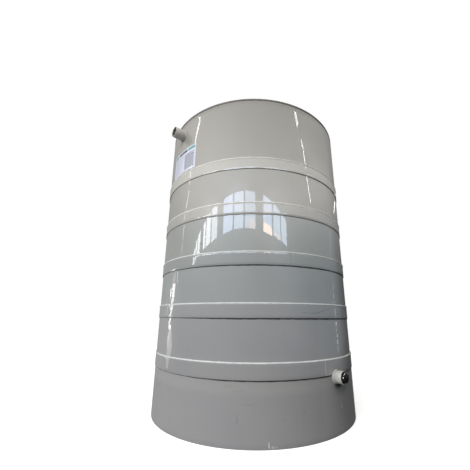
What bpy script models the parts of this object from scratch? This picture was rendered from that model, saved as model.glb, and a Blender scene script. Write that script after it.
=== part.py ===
"""Cone bottom tank of welded plastic sheet, standing on its own skirt.

Metres, +Z up. The origin is on the tank's axis at floor level, +X runs out
through the lower outlet and -Y through the upper overflow stub.

The wall is a 72-sided cylinder. Every ring, plate and cone shares those sides,
so pieces that lie against each other keep the same small gap all the way round.
"""
import math

import bmesh
import bpy
from mathutils import Vector

# Driving dimensions of the vessel
RADIUS = 1.0             # outside of the wall
HEIGHT = 2.916           # floor to the top of the roof plate
WALL = 0.012             # thickness of the wall sheet
GAP = 0.0003             # left between pieces that touch
SIDES = 72               # facets round the wall
SIDE_ANGLE = math.radians(360 / SIDES)
CUT_REACH = 0.1          # how far a cutter runs to each side of the face it cuts

# Hoop bands, from the lowest up. Each covers the joint between two courses.
HOOP_CENTRES = (0.4875, 0.921, 1.336, 1.772, 2.2095)
HOOP_JOINTS = (-7.8, 150.0, 100.0, 200.0, 75.0)   # bearing of each band's own butt joint
HOOP_HEIGHT = 0.118
HOOP_THICKNESS = 0.006

# Vertical joints of the courses: a front half facing -45 degrees and a rear half
HALVES = (("front", -135.0, 45.0), ("rear", 45.0, 225.0))

# Plates
ROOF_THICKNESS = 0.015
BASE_THICKNESS = 0.012
CONE_THICKNESS = 0.012
CONE_RIM = 0.345         # height of the cone's upper face at the wall
CONE_SLOPE = math.radians(12.0)
CONE_HOLE = 0.075        # radius of the drain hole at the apex

# Ribs that carry the cone from the base plate
RIB_BEARINGS = (30, 90, 150, 210, 270, 330)
RIB_THICKNESS = 0.012
RIB_INNER = 0.12
RIB_OUTER = 0.94

# Pipes and fittings
PIPE_SIDES = 24
STUB_RADIUS = 0.055      # overflow and inlet stubs, outside
STUB_WALL = 0.006
STUB_HEIGHT = 2.752
STUB_REACH = 0.112       # beyond the wall
PIPE_INSET = 0.040       # how far a pipe runs inside the wall's outer face
OUTLET_HEIGHT = 0.412
DRAIN_HEIGHT = 0.085
COLLAR_RADIUS = 0.053    # weld-on collar against the wall
COLLAR_REACH = 0.015
NECK_RADIUS = 0.042      # socket where it passes the wall
NECK_BORE = 0.036
NUT_RADIUS = 0.0485      # socket's wider end
NUT_START = 0.028
SOCKET_REACH = 0.074
PLUG_BORE = 0.0440       # wider bore that takes the plug
PLUG_SEAT = 0.055
PLUG_SHANK = 0.020       # length of the shank in the neck
PLUG_HEAD = 0.037        # hexagonal head, to its corners
PLUG_HEAD_SIDES = 6
PLUG_REACH = 0.097       # head's face beyond the wall

# Sump under the cone and the pipe from it to the drain socket
SUMP_RADIUS = 0.087
SUMP_WALL = 0.010
SUMP_FLOOR = 0.024
DRAIN_PIPE_RADIUS = 0.042
DRAIN_PIPE_WALL = 0.006

# Manhole and vent on the roof
MANHOLE_BEARING = 135.0
MANHOLE_DISTANCE = 0.45
MANHOLE_RADIUS = 0.280   # outside of the neck
MANHOLE_WALL = 0.012
MANHOLE_HEIGHT = 0.120
FLANGE_RADIUS = 0.330
FLANGE_THICKNESS = 0.015
COVER_THICKNESS = 0.015
NECK_SIDES = 36
HANDLE_SPAN = 0.160
HANDLE_HEIGHT = 0.055
HANDLE_BAR = 0.014
VENT_BEARING = 60.0
VENT_DISTANCE = 0.60
VENT_RISE = 0.140
VENT_CAP_RADIUS = 0.090
VENT_CAP_THICKNESS = 0.008
VENT_LEG = 0.012
VENT_LEG_HEIGHT = 0.030

# Colours, as linear values, with roughness
SHEET_GREY = ((0.315, 0.310, 0.300), 0.30)
SKIRT_GREY = ((0.270, 0.272, 0.270), 0.50)
FITTING_GREY = ((0.480, 0.490, 0.460), 0.40)
PLUG_BLACK = ((0.012, 0.011, 0.012), 0.12)

WALL_INSIDE = RADIUS - WALL
ROOF_UNDERSIDE = HEIGHT - ROOF_THICKNESS
CONE_HOLE_HEIGHT = CONE_RIM - (WALL_INSIDE - CONE_HOLE) * math.tan(CONE_SLOPE)


def clear_scene():
    """Remove every object, so that the script can be run again."""
    for item in list(bpy.data.objects):
        bpy.data.objects.remove(item, do_unlink=True)


def on_wall(radius, bearing):
    """Point on the 72-sided outline of this corner radius, at a bearing in radians."""
    middle = (math.floor(bearing / SIDE_ANGLE + 1e-9) + 0.5) * SIDE_ANGLE
    reach = radius * math.cos(SIDE_ANGLE / 2) / math.cos(bearing - middle)
    return Vector((reach * math.cos(bearing), reach * math.sin(bearing), 0))


def finish(item, look):
    """Give an object its own material."""
    colour, roughness = look
    material = bpy.data.materials.new(item.name + "_finish")
    material.use_nodes = True
    shader = material.node_tree.nodes["Principled BSDF"]
    shader.inputs["Base Color"].default_value = (*colour, 1)
    shader.inputs["Roughness"].default_value = roughness
    shader.inputs["Metallic"].default_value = 0
    item.data.materials.append(material)


def add_object(name, mesh_builder, look=None):
    """Turn a bmesh into a named object in the scene."""
    bmesh.ops.recalc_face_normals(mesh_builder, faces=mesh_builder.faces)
    mesh = bpy.data.meshes.new(name)
    mesh_builder.to_mesh(mesh)
    mesh_builder.free()
    mesh.shade_smooth()
    mesh.set_sharp_from_angle(angle=math.radians(30))
    item = bpy.data.objects.new(name, mesh)
    bpy.context.scene.collection.objects.link(item)
    if look:
        finish(item, look)
    return item


def sweep(sections, closed):
    """Skin a row of equal outlines into one closed solid."""
    builder = bmesh.new()
    rows = [[builder.verts.new(point) for point in section] for section in sections]
    count = len(rows[0])
    steps = len(rows) if closed else len(rows) - 1
    for step in range(steps):
        near, far = rows[step], rows[(step + 1) % len(rows)]
        for index in range(count):
            after = (index + 1) % count
            builder.faces.new((near[index], near[after], far[after], far[index]))
    if not closed:
        builder.faces.new(reversed(rows[0]))
        builder.faces.new(rows[-1])
    return builder


def turned(name, profile, look, sides=PIPE_SIDES):
    """Turn a closed outline of (radius, height) points about the local Z axis."""
    sections = []
    for step in range(sides):
        turn = 2 * math.pi * step / sides
        sections.append([(r * math.cos(turn), r * math.sin(turn), z) for r, z in profile])
    return add_object(name, sweep(sections, closed=True), look)


def rod(name, radius, bottom, top, look=None, sides=PIPE_SIDES):
    """Solid round bar along the local Z axis."""
    rings = []
    for height in (bottom, top):
        turns = [2 * math.pi * step / sides for step in range(sides)]
        rings.append([(radius * math.cos(t), radius * math.sin(t), height) for t in turns])
    return add_object(name, sweep(rings, closed=False), look)


def tube(name, radius, wall, bottom, top, look):
    """Open pipe along the local Z axis."""
    profile = [(radius, bottom), (radius, top), (radius - wall, top), (radius - wall, bottom)]
    return turned(name, profile, look)


def block(name, size, centre):
    """Rectangular block."""
    builder = bmesh.new()
    bmesh.ops.create_cube(builder, size=1)
    bmesh.ops.scale(builder, vec=size, verts=builder.verts)
    bmesh.ops.translate(builder, vec=centre, verts=builder.verts)
    return add_object(name, builder)


def ring_sector(name, inner, outer, bottom, top, start, end, look):
    """Part of a 72-sided ring between two bearings in degrees, with half a gap at each end."""
    half_gap = GAP / 2 / outer
    first = math.radians(start) + half_gap
    last = math.radians(end) - half_gap
    bearings = [first]
    corner = math.floor(first / SIDE_ANGLE + 1e-9) + 1
    while corner * SIDE_ANGLE < last - 1e-6:
        bearings.append(corner * SIDE_ANGLE)
        corner += 1
    bearings.append(last)
    sections = []
    for bearing in bearings:
        near, far = on_wall(inner, bearing), on_wall(outer, bearing)
        low, high = Vector((0, 0, bottom)), Vector((0, 0, top))
        sections.append([near + low, far + low, far + high, near + high])
    return add_object(name, sweep(sections, closed=False), look)


def cut(item, cutter, operation="DIFFERENCE"):
    """Cut an object with another, or join the other to it, and hide that other."""
    modifier = item.modifiers.new(cutter.name, "BOOLEAN")
    modifier.operation = operation
    modifier.solver = "EXACT"
    modifier.object = cutter
    cutter.hide_render = True
    cutter.display_type = "WIRE"


def point_outward(item, bearing, height):
    """Lay an object's local Z axis level, out from the tank's axis at this bearing."""
    item.location = (0, 0, height)
    item.rotation_euler = (0, math.radians(90), math.radians(bearing))


def place_on_roof(item, bearing, distance):
    """Stand an object on the roof plate's upper face."""
    turn = math.radians(bearing)
    item.location = (distance * math.cos(turn), distance * math.sin(turn), HEIGHT)
    item.rotation_euler = (0, 0, turn)


def make_courses():
    """Wall courses in two halves each, with the skirt course at the bottom."""
    joints = [0.0, *HOOP_CENTRES, ROOF_UNDERSIDE]
    halves = {}
    for number, (bottom, top) in enumerate(zip(joints, joints[1:])):
        for side, start, end in HALVES:
            name = f"shell_course_{number}_{side}" if number else f"skirt_course_{side}"
            look = SHEET_GREY if number else SKIRT_GREY
            halves[number, side] = ring_sector(
                name, WALL_INSIDE, RADIUS, bottom, top - GAP, start, end, look)
    return halves


def make_hoop_bands():
    """Hoop strips round the wall, each one strip bent round to meet itself."""
    bands = []
    for number, (centre, joint) in enumerate(zip(HOOP_CENTRES, HOOP_JOINTS), start=1):
        bands.append(ring_sector(
            f"hoop_band_{number}", RADIUS + GAP, RADIUS + HOOP_THICKNESS,
            centre - HOOP_HEIGHT / 2, centre + HOOP_HEIGHT / 2, joint, joint + 360, SHEET_GREY))
    return bands


def make_stub(name, bearing, course):
    """Open pipe stub through the top course."""
    stub = tube(name, STUB_RADIUS, STUB_WALL, RADIUS - PIPE_INSET, RADIUS + STUB_REACH, SHEET_GREY)
    hole = rod(name + "_hole", STUB_RADIUS + GAP, RADIUS - CUT_REACH, RADIUS + CUT_REACH)
    for item in (stub, hole):
        point_outward(item, bearing, STUB_HEIGHT)
    cut(course, hole)


def make_plug(name):
    """Plug that fills the socket's end, with a hexagonal head standing out of it."""
    mouth = RADIUS + SOCKET_REACH
    seat = RADIUS + PLUG_SEAT
    middle = (seat + mouth) / 2
    plug = rod(name, PLUG_BORE - GAP, seat + GAP, mouth, PLUG_BLACK)
    shank = rod(name + "_shank", NECK_BORE - GAP, seat - PLUG_SHANK, middle)
    head = rod(name + "_head", PLUG_HEAD, middle + GAP, RADIUS + PLUG_REACH, sides=PLUG_HEAD_SIDES)
    cut(plug, shank, "UNION")
    cut(plug, head, "UNION")
    return plug, shank, head


def make_outlet(prefix, bearing, height, course, band=None):
    """Weld-on collar, socket and plug on the skirt course."""
    collar = tube(prefix + "_collar", COLLAR_RADIUS, COLLAR_RADIUS - NECK_RADIUS - GAP,
                  RADIUS - 0.01, RADIUS + COLLAR_REACH, FITTING_GREY)
    inner_end, nut, seat, mouth = (
        RADIUS + step for step in (-PIPE_INSET, NUT_START, PLUG_SEAT, SOCKET_REACH))
    socket = turned(prefix + "_socket", [
        (NECK_BORE, inner_end), (NECK_RADIUS, inner_end), (NECK_RADIUS, nut), (NUT_RADIUS, nut),
        (NUT_RADIUS, mouth), (PLUG_BORE, mouth), (PLUG_BORE, seat), (NECK_BORE, seat),
    ], FITTING_GREY)
    near, far = RADIUS - CUT_REACH, RADIUS + CUT_REACH
    hole = rod(prefix + "_hole", NECK_RADIUS + GAP, near, far)
    wall_face = rod(prefix + "_wall_face", RADIUS + GAP, height - CUT_REACH, height + CUT_REACH,
                    sides=SIDES)
    for item in (collar, socket, hole, *make_plug(prefix + "_plug")):
        point_outward(item, bearing, height)
    cut(course, hole)
    cut(collar, wall_face)
    if band:
        notch = rod(prefix + "_notch", COLLAR_RADIUS + GAP, near, far)
        point_outward(notch, bearing, height)
        cut(band, notch)


def make_cone():
    """Shallow cone that closes the vessel inside the skirt, with its drain hole."""
    rim = WALL_INSIDE - GAP
    drop = CONE_THICKNESS / math.cos(CONE_SLOPE)
    profile = [(rim, CONE_RIM - drop), (rim, CONE_RIM),
               (CONE_HOLE, CONE_HOLE_HEIGHT), (CONE_HOLE, CONE_HOLE_HEIGHT - drop)]
    turned("cone_bottom", profile, SHEET_GREY, SIDES)


def cone_underside(radius):
    """Height of the cone's lower face at a radius."""
    drop = CONE_THICKNESS / math.cos(CONE_SLOPE)
    return CONE_HOLE_HEIGHT - drop + (radius - CONE_HOLE) * math.tan(CONE_SLOPE)


def make_ribs():
    """Upright ribs between the base plate and the cone."""
    for number, bearing in enumerate(RIB_BEARINGS, start=1):
        foot = BASE_THICKNESS + GAP
        outline = [(RIB_INNER, foot), (RIB_OUTER, foot),
                   (RIB_OUTER, cone_underside(RIB_OUTER) - GAP),
                   (RIB_INNER, cone_underside(RIB_INNER) - GAP)]
        faces = [[(r, side * RIB_THICKNESS / 2, z) for r, z in outline] for side in (1, -1)]
        rib = add_object(f"support_rib_{number}", sweep(faces, closed=False), SHEET_GREY)
        rib.rotation_euler = (0, 0, math.radians(bearing))


def make_sump():
    """Pot under the cone's apex and the pipe from it to the drain socket."""
    top = CONE_HOLE_HEIGHT - CONE_THICKNESS / math.cos(CONE_SLOPE) - GAP
    inner = SUMP_RADIUS - SUMP_WALL
    floor = SUMP_FLOOR + SUMP_WALL
    sump = rod("drain_sump", SUMP_RADIUS, SUMP_FLOOR, top, SHEET_GREY)
    hollow = rod("drain_sump_hollow", inner, floor, top + CUT_REACH)
    side_hole = rod("drain_sump_side_hole", DRAIN_PIPE_RADIUS + GAP, SUMP_RADIUS / 3,
                    SUMP_RADIUS + CUT_REACH)
    point_outward(side_hole, 180, DRAIN_HEIGHT)
    cut(sump, hollow)
    cut(sump, side_hole)
    pipe = tube("drain_pipe", DRAIN_PIPE_RADIUS, DRAIN_PIPE_WALL, inner,
                RADIUS - PIPE_INSET - GAP, FITTING_GREY)
    point_outward(pipe, 180, DRAIN_HEIGHT)


def make_roof():
    """Flat roof plate, flush with the wall, with its two holes."""
    roof = rod("roof_plate", RADIUS, ROOF_UNDERSIDE, HEIGHT, SHEET_GREY, SIDES)
    manhole = rod("manhole_hole", MANHOLE_RADIUS - MANHOLE_WALL, -CUT_REACH, CUT_REACH,
                  sides=NECK_SIDES)
    vent = rod("vent_hole", STUB_RADIUS + GAP, -CUT_REACH, CUT_REACH)
    place_on_roof(manhole, MANHOLE_BEARING, MANHOLE_DISTANCE)
    place_on_roof(vent, VENT_BEARING, VENT_DISTANCE)
    cut(roof, manhole)
    cut(roof, vent)


def make_manhole():
    """Flanged neck with a flat cover and its grab handle."""
    bore = MANHOLE_RADIUS - MANHOLE_WALL
    under_flange = MANHOLE_HEIGHT - FLANGE_THICKNESS
    neck = turned("manhole_neck", [
        (bore, GAP), (MANHOLE_RADIUS, GAP), (MANHOLE_RADIUS, under_flange),
        (FLANGE_RADIUS, under_flange), (FLANGE_RADIUS, MANHOLE_HEIGHT), (bore, MANHOLE_HEIGHT),
    ], SHEET_GREY, NECK_SIDES)
    cover_bottom = MANHOLE_HEIGHT + GAP
    cover_top = cover_bottom + COVER_THICKNESS
    cover = rod("manhole_cover", FLANGE_RADIUS, cover_bottom, cover_top, SHEET_GREY, NECK_SIDES)
    half = HANDLE_SPAN / 2
    top = HANDLE_HEIGHT - HANDLE_BAR
    path = [(-half, 0), (-half, HANDLE_HEIGHT), (half, HANDLE_HEIGHT), (half, 0),
            (half - HANDLE_BAR, 0), (half - HANDLE_BAR, top), (HANDLE_BAR - half, top),
            (HANDLE_BAR - half, 0)]
    lift = cover_top + GAP
    faces = [[(side * HANDLE_BAR / 2, y, z + lift) for y, z in path] for side in (1, -1)]
    handle = add_object("cover_handle", sweep(faces, closed=False), PLUG_BLACK)
    for item in (neck, cover, handle):
        place_on_roof(item, MANHOLE_BEARING, MANHOLE_DISTANCE)


def make_vent():
    """Vent pipe through the roof with a rain cap on four legs."""
    pipe = tube("vent_pipe", STUB_RADIUS, STUB_WALL, -PIPE_INSET, VENT_RISE, SHEET_GREY)
    leg_foot = VENT_RISE + GAP
    plate = leg_foot + VENT_LEG_HEIGHT
    cap = rod("vent_cap", VENT_CAP_RADIUS, plate, plate + VENT_CAP_THICKNESS, SHEET_GREY)
    reach = STUB_RADIUS - STUB_WALL / 2
    height = VENT_LEG_HEIGHT + VENT_CAP_THICKNESS / 2
    legs = []
    for number, (x, y) in enumerate(((1, 0), (0, 1), (-1, 0), (0, -1)), start=1):
        legs.append(block(f"vent_leg_{number}", (VENT_LEG, VENT_LEG, height),
                          (x * reach, y * reach, leg_foot + height / 2)))
        cut(cap, legs[-1], "UNION")
    for item in (pipe, cap, *legs):
        place_on_roof(item, VENT_BEARING, VENT_DISTANCE)


def make_base():
    """Base plate inside the skirt's foot."""
    rod("base_plate", WALL_INSIDE - GAP, 0, BASE_THICKNESS, SHEET_GREY, SIDES)


def group_under(name):
    """Parent every piece to one empty at the origin."""
    empty = bpy.data.objects.new(name, None)
    bpy.context.scene.collection.objects.link(empty)
    for item in bpy.data.objects:
        if item.type == "MESH":
            item.parent = empty


def build():
    """Make the whole tank."""
    clear_scene()
    halves = make_courses()
    bands = make_hoop_bands()
    top_course = len(HOOP_CENTRES)
    make_stub("overflow_nozzle", -90, halves[top_course, "front"])
    make_stub("inlet_nozzle", 90, halves[top_course, "rear"])
    make_outlet("outlet", 0, OUTLET_HEIGHT, halves[0, "front"], bands[0])
    make_outlet("drain", 180, DRAIN_HEIGHT, halves[0, "rear"])
    make_cone()
    make_ribs()
    make_sump()
    make_base()
    make_roof()
    make_manhole()
    make_vent()
    group_under("tank")


build()
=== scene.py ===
"""Looks of a cone bottom tank of welded grey plastic sheet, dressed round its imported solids.

Metres, +Z up, with the origin on the tank's axis at floor level. A bearing is measured
anticlockwise from +X, where the outlet is, so the overflow stub points along -90 degrees.
"""
import logging
import math
from dataclasses import dataclass, replace
from enum import Enum
from typing import Optional, Sequence, Union

import bmesh
import bpy
from mathutils import Matrix, Vector


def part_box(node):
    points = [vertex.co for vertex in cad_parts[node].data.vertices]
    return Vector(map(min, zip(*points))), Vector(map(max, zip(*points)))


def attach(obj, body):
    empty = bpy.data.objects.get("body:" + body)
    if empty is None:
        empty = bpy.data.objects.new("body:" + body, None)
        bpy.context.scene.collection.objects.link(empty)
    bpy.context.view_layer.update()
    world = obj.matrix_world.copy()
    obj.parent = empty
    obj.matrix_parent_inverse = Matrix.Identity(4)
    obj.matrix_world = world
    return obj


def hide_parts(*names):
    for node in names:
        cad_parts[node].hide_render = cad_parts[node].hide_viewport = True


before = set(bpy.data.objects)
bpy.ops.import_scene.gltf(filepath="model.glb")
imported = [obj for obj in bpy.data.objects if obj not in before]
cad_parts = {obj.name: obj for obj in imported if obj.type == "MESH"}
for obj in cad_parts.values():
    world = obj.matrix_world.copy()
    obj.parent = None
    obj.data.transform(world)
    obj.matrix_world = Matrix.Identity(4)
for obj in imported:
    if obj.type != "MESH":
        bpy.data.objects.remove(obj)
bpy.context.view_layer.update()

LOG = logging.getLogger("tank")
BODY = "root"
SEAM_GAP = 0.0003        # left between pieces that touch, as in the solids
WALL_RADIUS = 1.0        # the wall's outer face
WALL_THICKNESS = 0.012
CUT_DEPTH = 0.1          # how far a cutter reaches on each side of what it cuts
LAY_LIFT = 0.0015        # how far a bead's line stands off the face it lies on
WAVE_DEPTH = 0.0002      # long shallow waves of the wall's sheet
WAVE_SIZE = 0.45
WAVE_SEED = 4.0
BANDS = range(1, 6)      # hoop bands, numbered from the lowest up
SKIRT_COURSE = 0
TOP_COURSE = 5

Colour = tuple[float, float, float]
Point = tuple[float, float, float]
Box = tuple[float, float, float, float]
Value = Union[bpy.types.NodeSocket, float, int, tuple]


class Slot(Enum):
    """Names of material slots, which nothing in this script reads."""

    WALL = "wall_sheet"
    SKIRT = "skirt_sheet"
    FITTING = "fitting"
    PLUG = "plug_black"


class Side(Enum):
    """Halves of the wall, with the bearing where each one starts."""

    FRONT = -135.0
    REAR = 45.0


# Node trees

class Bench:
    """Adds nodes to one node tree and joins them up."""

    def __init__(self, tree: bpy.types.NodeTree) -> None:
        """Start on a tree.

        Args:
            tree: The node tree that gets the nodes.
        """
        self.tree = tree

    def add(self, kind: str, inputs: Optional[dict] = None, **settings: object) -> bpy.types.Node:
        """Add one node.

        Args:
            kind: Blender's name for the node's type.
            inputs: Value or socket for each input, by the input's name or number.
            **settings: The node's own properties.

        Returns:
            The new node.
        """
        node = self.tree.nodes.new(kind)
        for name, setting in settings.items():
            setattr(node, name, setting)
        self.feed(node, inputs or {})
        return node

    def feed(self, node: bpy.types.Node, inputs: dict) -> None:
        """Set or link a node's inputs.

        Args:
            node: The node.
            inputs: Value or socket for each input, by the input's name or number.
        """
        for key, value in inputs.items():
            if isinstance(value, bpy.types.NodeSocket):
                self.tree.links.new(value, node.inputs[key])
            else:
                node.inputs[key].default_value = value

    def math(self, operation: str, *values: Value) -> bpy.types.NodeSocket:
        """Work out one number from up to three.

        Args:
            operation: Blender's name for the operation.
            *values: Its numbers or sockets, in order.

        Returns:
            The result's socket.
        """
        return self.add("ShaderNodeMath", dict(enumerate(values)), operation=operation).outputs[0]

    def vector(self, operation: str, *values: Value) -> bpy.types.Node:
        """Work on vectors.

        Args:
            operation: Blender's name for the operation.
            *values: Its vectors or sockets, in order.

        Returns:
            The node, which has a Vector and a Value output.
        """
        return self.add("ShaderNodeVectorMath", dict(enumerate(values)), operation=operation)

    def remap(self, value: Value, low: float, high: float, first: Value = 0.0,
              last: Value = 1.0, smooth: bool = True) -> bpy.types.NodeSocket:
        """Map one range of numbers onto another.

        Args:
            value: The number to map.
            low: Start of its range.
            high: End of its range.
            first: What low becomes.
            last: What high becomes.
            smooth: Whether the two ends are eased.

        Returns:
            The mapped number's socket.
        """
        kind = "SMOOTHSTEP" if smooth else "LINEAR"
        node = self.add("ShaderNodeMapRange", {0: value, 1: low, 2: high, 3: first, 4: last},
                        interpolation_type=kind)
        return node.outputs[0]

    def noise(self, place: Value, size: float, detail: float = 2.0, seed: Value = 0.0,
              stretch: Point = (1.0, 1.0, 1.0)) -> bpy.types.NodeSocket:
        """Cloudy pattern between 0 and 1.

        Args:
            place: Position that the pattern follows.
            size: Size of its patches in metres.
            detail: How many finer patterns it holds.
            seed: Picks the pattern.
            stretch: How much finer it is along each axis.

        Returns:
            The pattern's socket.
        """
        scaled = self.vector("MULTIPLY", place, tuple(part / size for part in stretch))
        node = self.add("ShaderNodeTexNoise", {"Vector": scaled.outputs[0], "W": seed, "Scale": 1.0,
                                               "Detail": detail}, noise_dimensions="4D")
        return node.outputs[0]

    def blend(self, factor: Value, first: Value, second: Value) -> bpy.types.NodeSocket:
        """Blend two colours.

        Args:
            factor: Share of the second colour.
            first: First colour or socket.
            second: Second colour or socket.

        Returns:
            The blended colour's socket.
        """
        one, two = (part if isinstance(part, bpy.types.NodeSocket) else (*part, 1.0)
                    for part in (first, second))
        return self.add("ShaderNodeMix", {0: factor, 6: one, 7: two}, data_type="RGBA").outputs[2]

    def bump(self, height: Value, depth: float) -> bpy.types.NodeSocket:
        """Normal of a fine relief.

        Args:
            height: The relief's pattern.
            depth: Its depth in metres.

        Returns:
            The normal's socket.
        """
        return self.add("ShaderNodeBump", {"Height": height, "Distance": depth}).outputs[0]


class GrowthTree:
    """A geometry tree with named inputs, run once for each piece it makes."""

    def __init__(self, name: str, inputs: dict[str, str], takes_mesh: bool = False) -> None:
        """Open an empty tree.

        Args:
            name: The tree's name.
            inputs: Kind of each named input, as Float, Int or Material.
            takes_mesh: Whether it works on a mesh that is handed in.
        """
        self.tree = bpy.data.node_groups.new(name, "GeometryNodeTree")
        panel = self.tree.interface
        if takes_mesh:
            panel.new_socket("Geometry", in_out="INPUT", socket_type="NodeSocketGeometry")
        for label, kind in {**inputs, "Finish": "Material"}.items():
            panel.new_socket(label, in_out="INPUT", socket_type="NodeSocket" + kind)
        panel.new_socket("Geometry", in_out="OUTPUT", socket_type="NodeSocketGeometry")
        self.bench = Bench(self.tree)
        self.given = self.bench.add("NodeGroupInput").outputs

    def close(self, geometry: bpy.types.NodeSocket) -> None:
        """Smooth, realize and paint the result, and hand it out.

        Args:
            geometry: The finished shape's socket.
        """
        bench = self.bench
        smooth = bench.add("GeometryNodeSetShadeSmooth", {"Geometry": geometry}).outputs[0]
        real = bench.add("GeometryNodeRealizeInstances", {"Geometry": smooth}).outputs[0]
        painted = bench.add("GeometryNodeSetMaterial", {"Geometry": real,
                                                        "Material": self.given["Finish"]})
        bench.add("NodeGroupOutput", {"Geometry": painted.outputs[0]})

    def grow(self, name: str, finish: bpy.types.Material, values: dict[str, Union[float, int]],
             source: Optional[bpy.types.Mesh] = None) -> bpy.types.Object:
        """Run the tree and keep its result as a plain mesh.

        Args:
            name: The new object's name.
            finish: Its material.
            values: The tree's inputs, by name.
            source: The mesh that the tree works on, if it takes one.

        Returns:
            The new object, with no modifier.
        """
        host = add_object(name + "_host", source or bpy.data.meshes.new(name + "_host"))
        modifier = host.modifiers.new("grow", "NODES")
        modifier.node_group = self.tree
        values = {**values, "Finish": finish}
        for item in self.tree.interface.items_tree:
            if item.in_out == "INPUT" and item.name in values:
                modifier[item.identifier] = values[item.name]
        result = add_object(name, baked_mesh(host))
        bpy.data.objects.remove(host, do_unlink=True)
        return result


def ring_place(bench: Bench, turn: Value, height: Value) -> bpy.types.NodeSocket:
    """Point on the unit cylinder, which patterns that run round the wall read.

    Args:
        bench: The tree's bench.
        turn: Bearing in radians.
        height: Height in metres.

    Returns:
        The point's socket.
    """
    across, along = bench.math("COSINE", turn), bench.math("SINE", turn)
    return bench.add("ShaderNodeCombineXYZ", {0: across, 1: along, 2: height}).outputs[0]


def stand_off(bench: Bench, place: bpy.types.Node,
              given: bpy.types.NodeOutputs) -> bpy.types.NodeSocket:
    """Second pattern round the wall, for where a strip's lower edge stands off.

    Args:
        bench: The tree's bench.
        place: Node whose vector runs round the wall.
        given: The tree's inputs.

    Returns:
        The pattern's socket.
    """
    return bench.noise(place.outputs[0], 2.5, 1.0, bench.math("ADD", given["Seed"], 19.0))


def bent_sheet_tree() -> GrowthTree:
    """Sheet bent round the tank: a block of unit size is rolled up into part of a ring.

    Returns:
        The tree.
    """
    numbers = ("Inner Radius", "Outer Radius", "Bottom", "Top", "Start", "Sweep", "Wave Depth",
               "Wave Size", "Wave Follow", "Edge Wobble", "Wobble Size", "Edge Lift", "Thin Bearing",
               "Thin Share", "Rim Curl", "Rim Height", "Seed")
    growth = GrowthTree("bent_sheet", {**{name: "Float" for name in numbers},
                                       "Steps Round": "Int", "Steps Up": "Int"})
    bench, given = growth.bench, growth.given
    block = bench.add("GeometryNodeMeshCube", {
        "Vertices X": 2,
        "Vertices Y": bench.math("ADD", given["Steps Round"], 1),
        "Vertices Z": bench.math("ADD", given["Steps Up"], 1)})
    place = bench.add("ShaderNodeSeparateXYZ", {0: bench.add("GeometryNodeInputPosition").outputs[0]})
    depth, along, rise = (bench.math("ADD", part, 0.5) for part in place.outputs)
    turn = bench.math("MULTIPLY_ADD", along, given["Sweep"], given["Start"])

    # The lower edge can wobble, and thins out round one bearing
    away = bench.math("COSINE", bench.math("SUBTRACT", turn, given["Thin Bearing"]))
    thinning = bench.math("MULTIPLY", bench.remap(away, 0.55, 1.0), given["Thin Share"])
    tall = bench.math("MULTIPLY", bench.math("SUBTRACT", given["Top"], given["Bottom"]),
                      bench.math("SUBTRACT", 1.0, thinning))
    foot = bench.math("SUBTRACT", given["Top"], tall)
    sway_place = bench.vector("DIVIDE", ring_place(bench, turn, 0.0), given["Wobble Size"])
    sway = bench.noise(sway_place.outputs[0], 1.0, 3.0, bench.math("ADD", given["Seed"], 7.0))
    sway = bench.math("MULTIPLY", bench.remap(sway, 0.25, 0.75, -1.0, 1.0, smooth=False),
                      given["Edge Wobble"])
    foot = bench.math("ADD", foot, bench.math("MULTIPLY", sway, bench.math("SUBTRACT", 1.0, thinning)))
    height = bench.math("MULTIPLY_ADD", rise, bench.math("SUBTRACT", given["Top"], foot), foot)

    # Long shallow waves on the outer face, a loose lower edge and a curled upper rim
    wave_place = bench.vector("DIVIDE", ring_place(bench, turn, height), given["Wave Size"])
    wave = bench.noise(wave_place.outputs[0], 1.0, 1.0, given["Seed"])
    wave = bench.math("MULTIPLY", bench.remap(wave, 0.2, 0.8, -1.0, 1.0, smooth=False),
                      given["Wave Depth"])
    radius = bench.math("MULTIPLY_ADD", depth,
                        bench.math("SUBTRACT", given["Outer Radius"], given["Inner Radius"]),
                        given["Inner Radius"])
    radius = bench.math("MULTIPLY_ADD", wave, bench.math("MAXIMUM", depth, given["Wave Follow"]), radius)
    loose = bench.math("POWER", bench.math("SUBTRACT", 1.0, rise), 4.0)
    lift = bench.math("MULTIPLY", bench.remap(stand_off(bench, sway_place, given), 0.35, 0.7),
                      given["Edge Lift"])
    radius = bench.math("MULTIPLY_ADD", lift, loose, radius)
    under_rim = bench.math("DIVIDE", bench.math("SUBTRACT", given["Top"], height), given["Rim Height"])
    curl = bench.math("POWER", bench.remap(under_rim, 0.0, 1.0, 1.0, 0.0, smooth=False), 2.0)
    radius = bench.math("SUBTRACT", radius, bench.math("MULTIPLY", curl, given["Rim Curl"]))

    rolled = bench.add("ShaderNodeCombineXYZ", {
        0: bench.math("MULTIPLY", radius, bench.math("COSINE", turn)),
        1: bench.math("MULTIPLY", radius, bench.math("SINE", turn)),
        2: height})
    moved = bench.add("GeometryNodeSetPosition", {"Geometry": block.outputs[0],
                                                  "Position": rolled.outputs[0]})
    growth.close(moved.outputs[0])
    return growth


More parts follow.
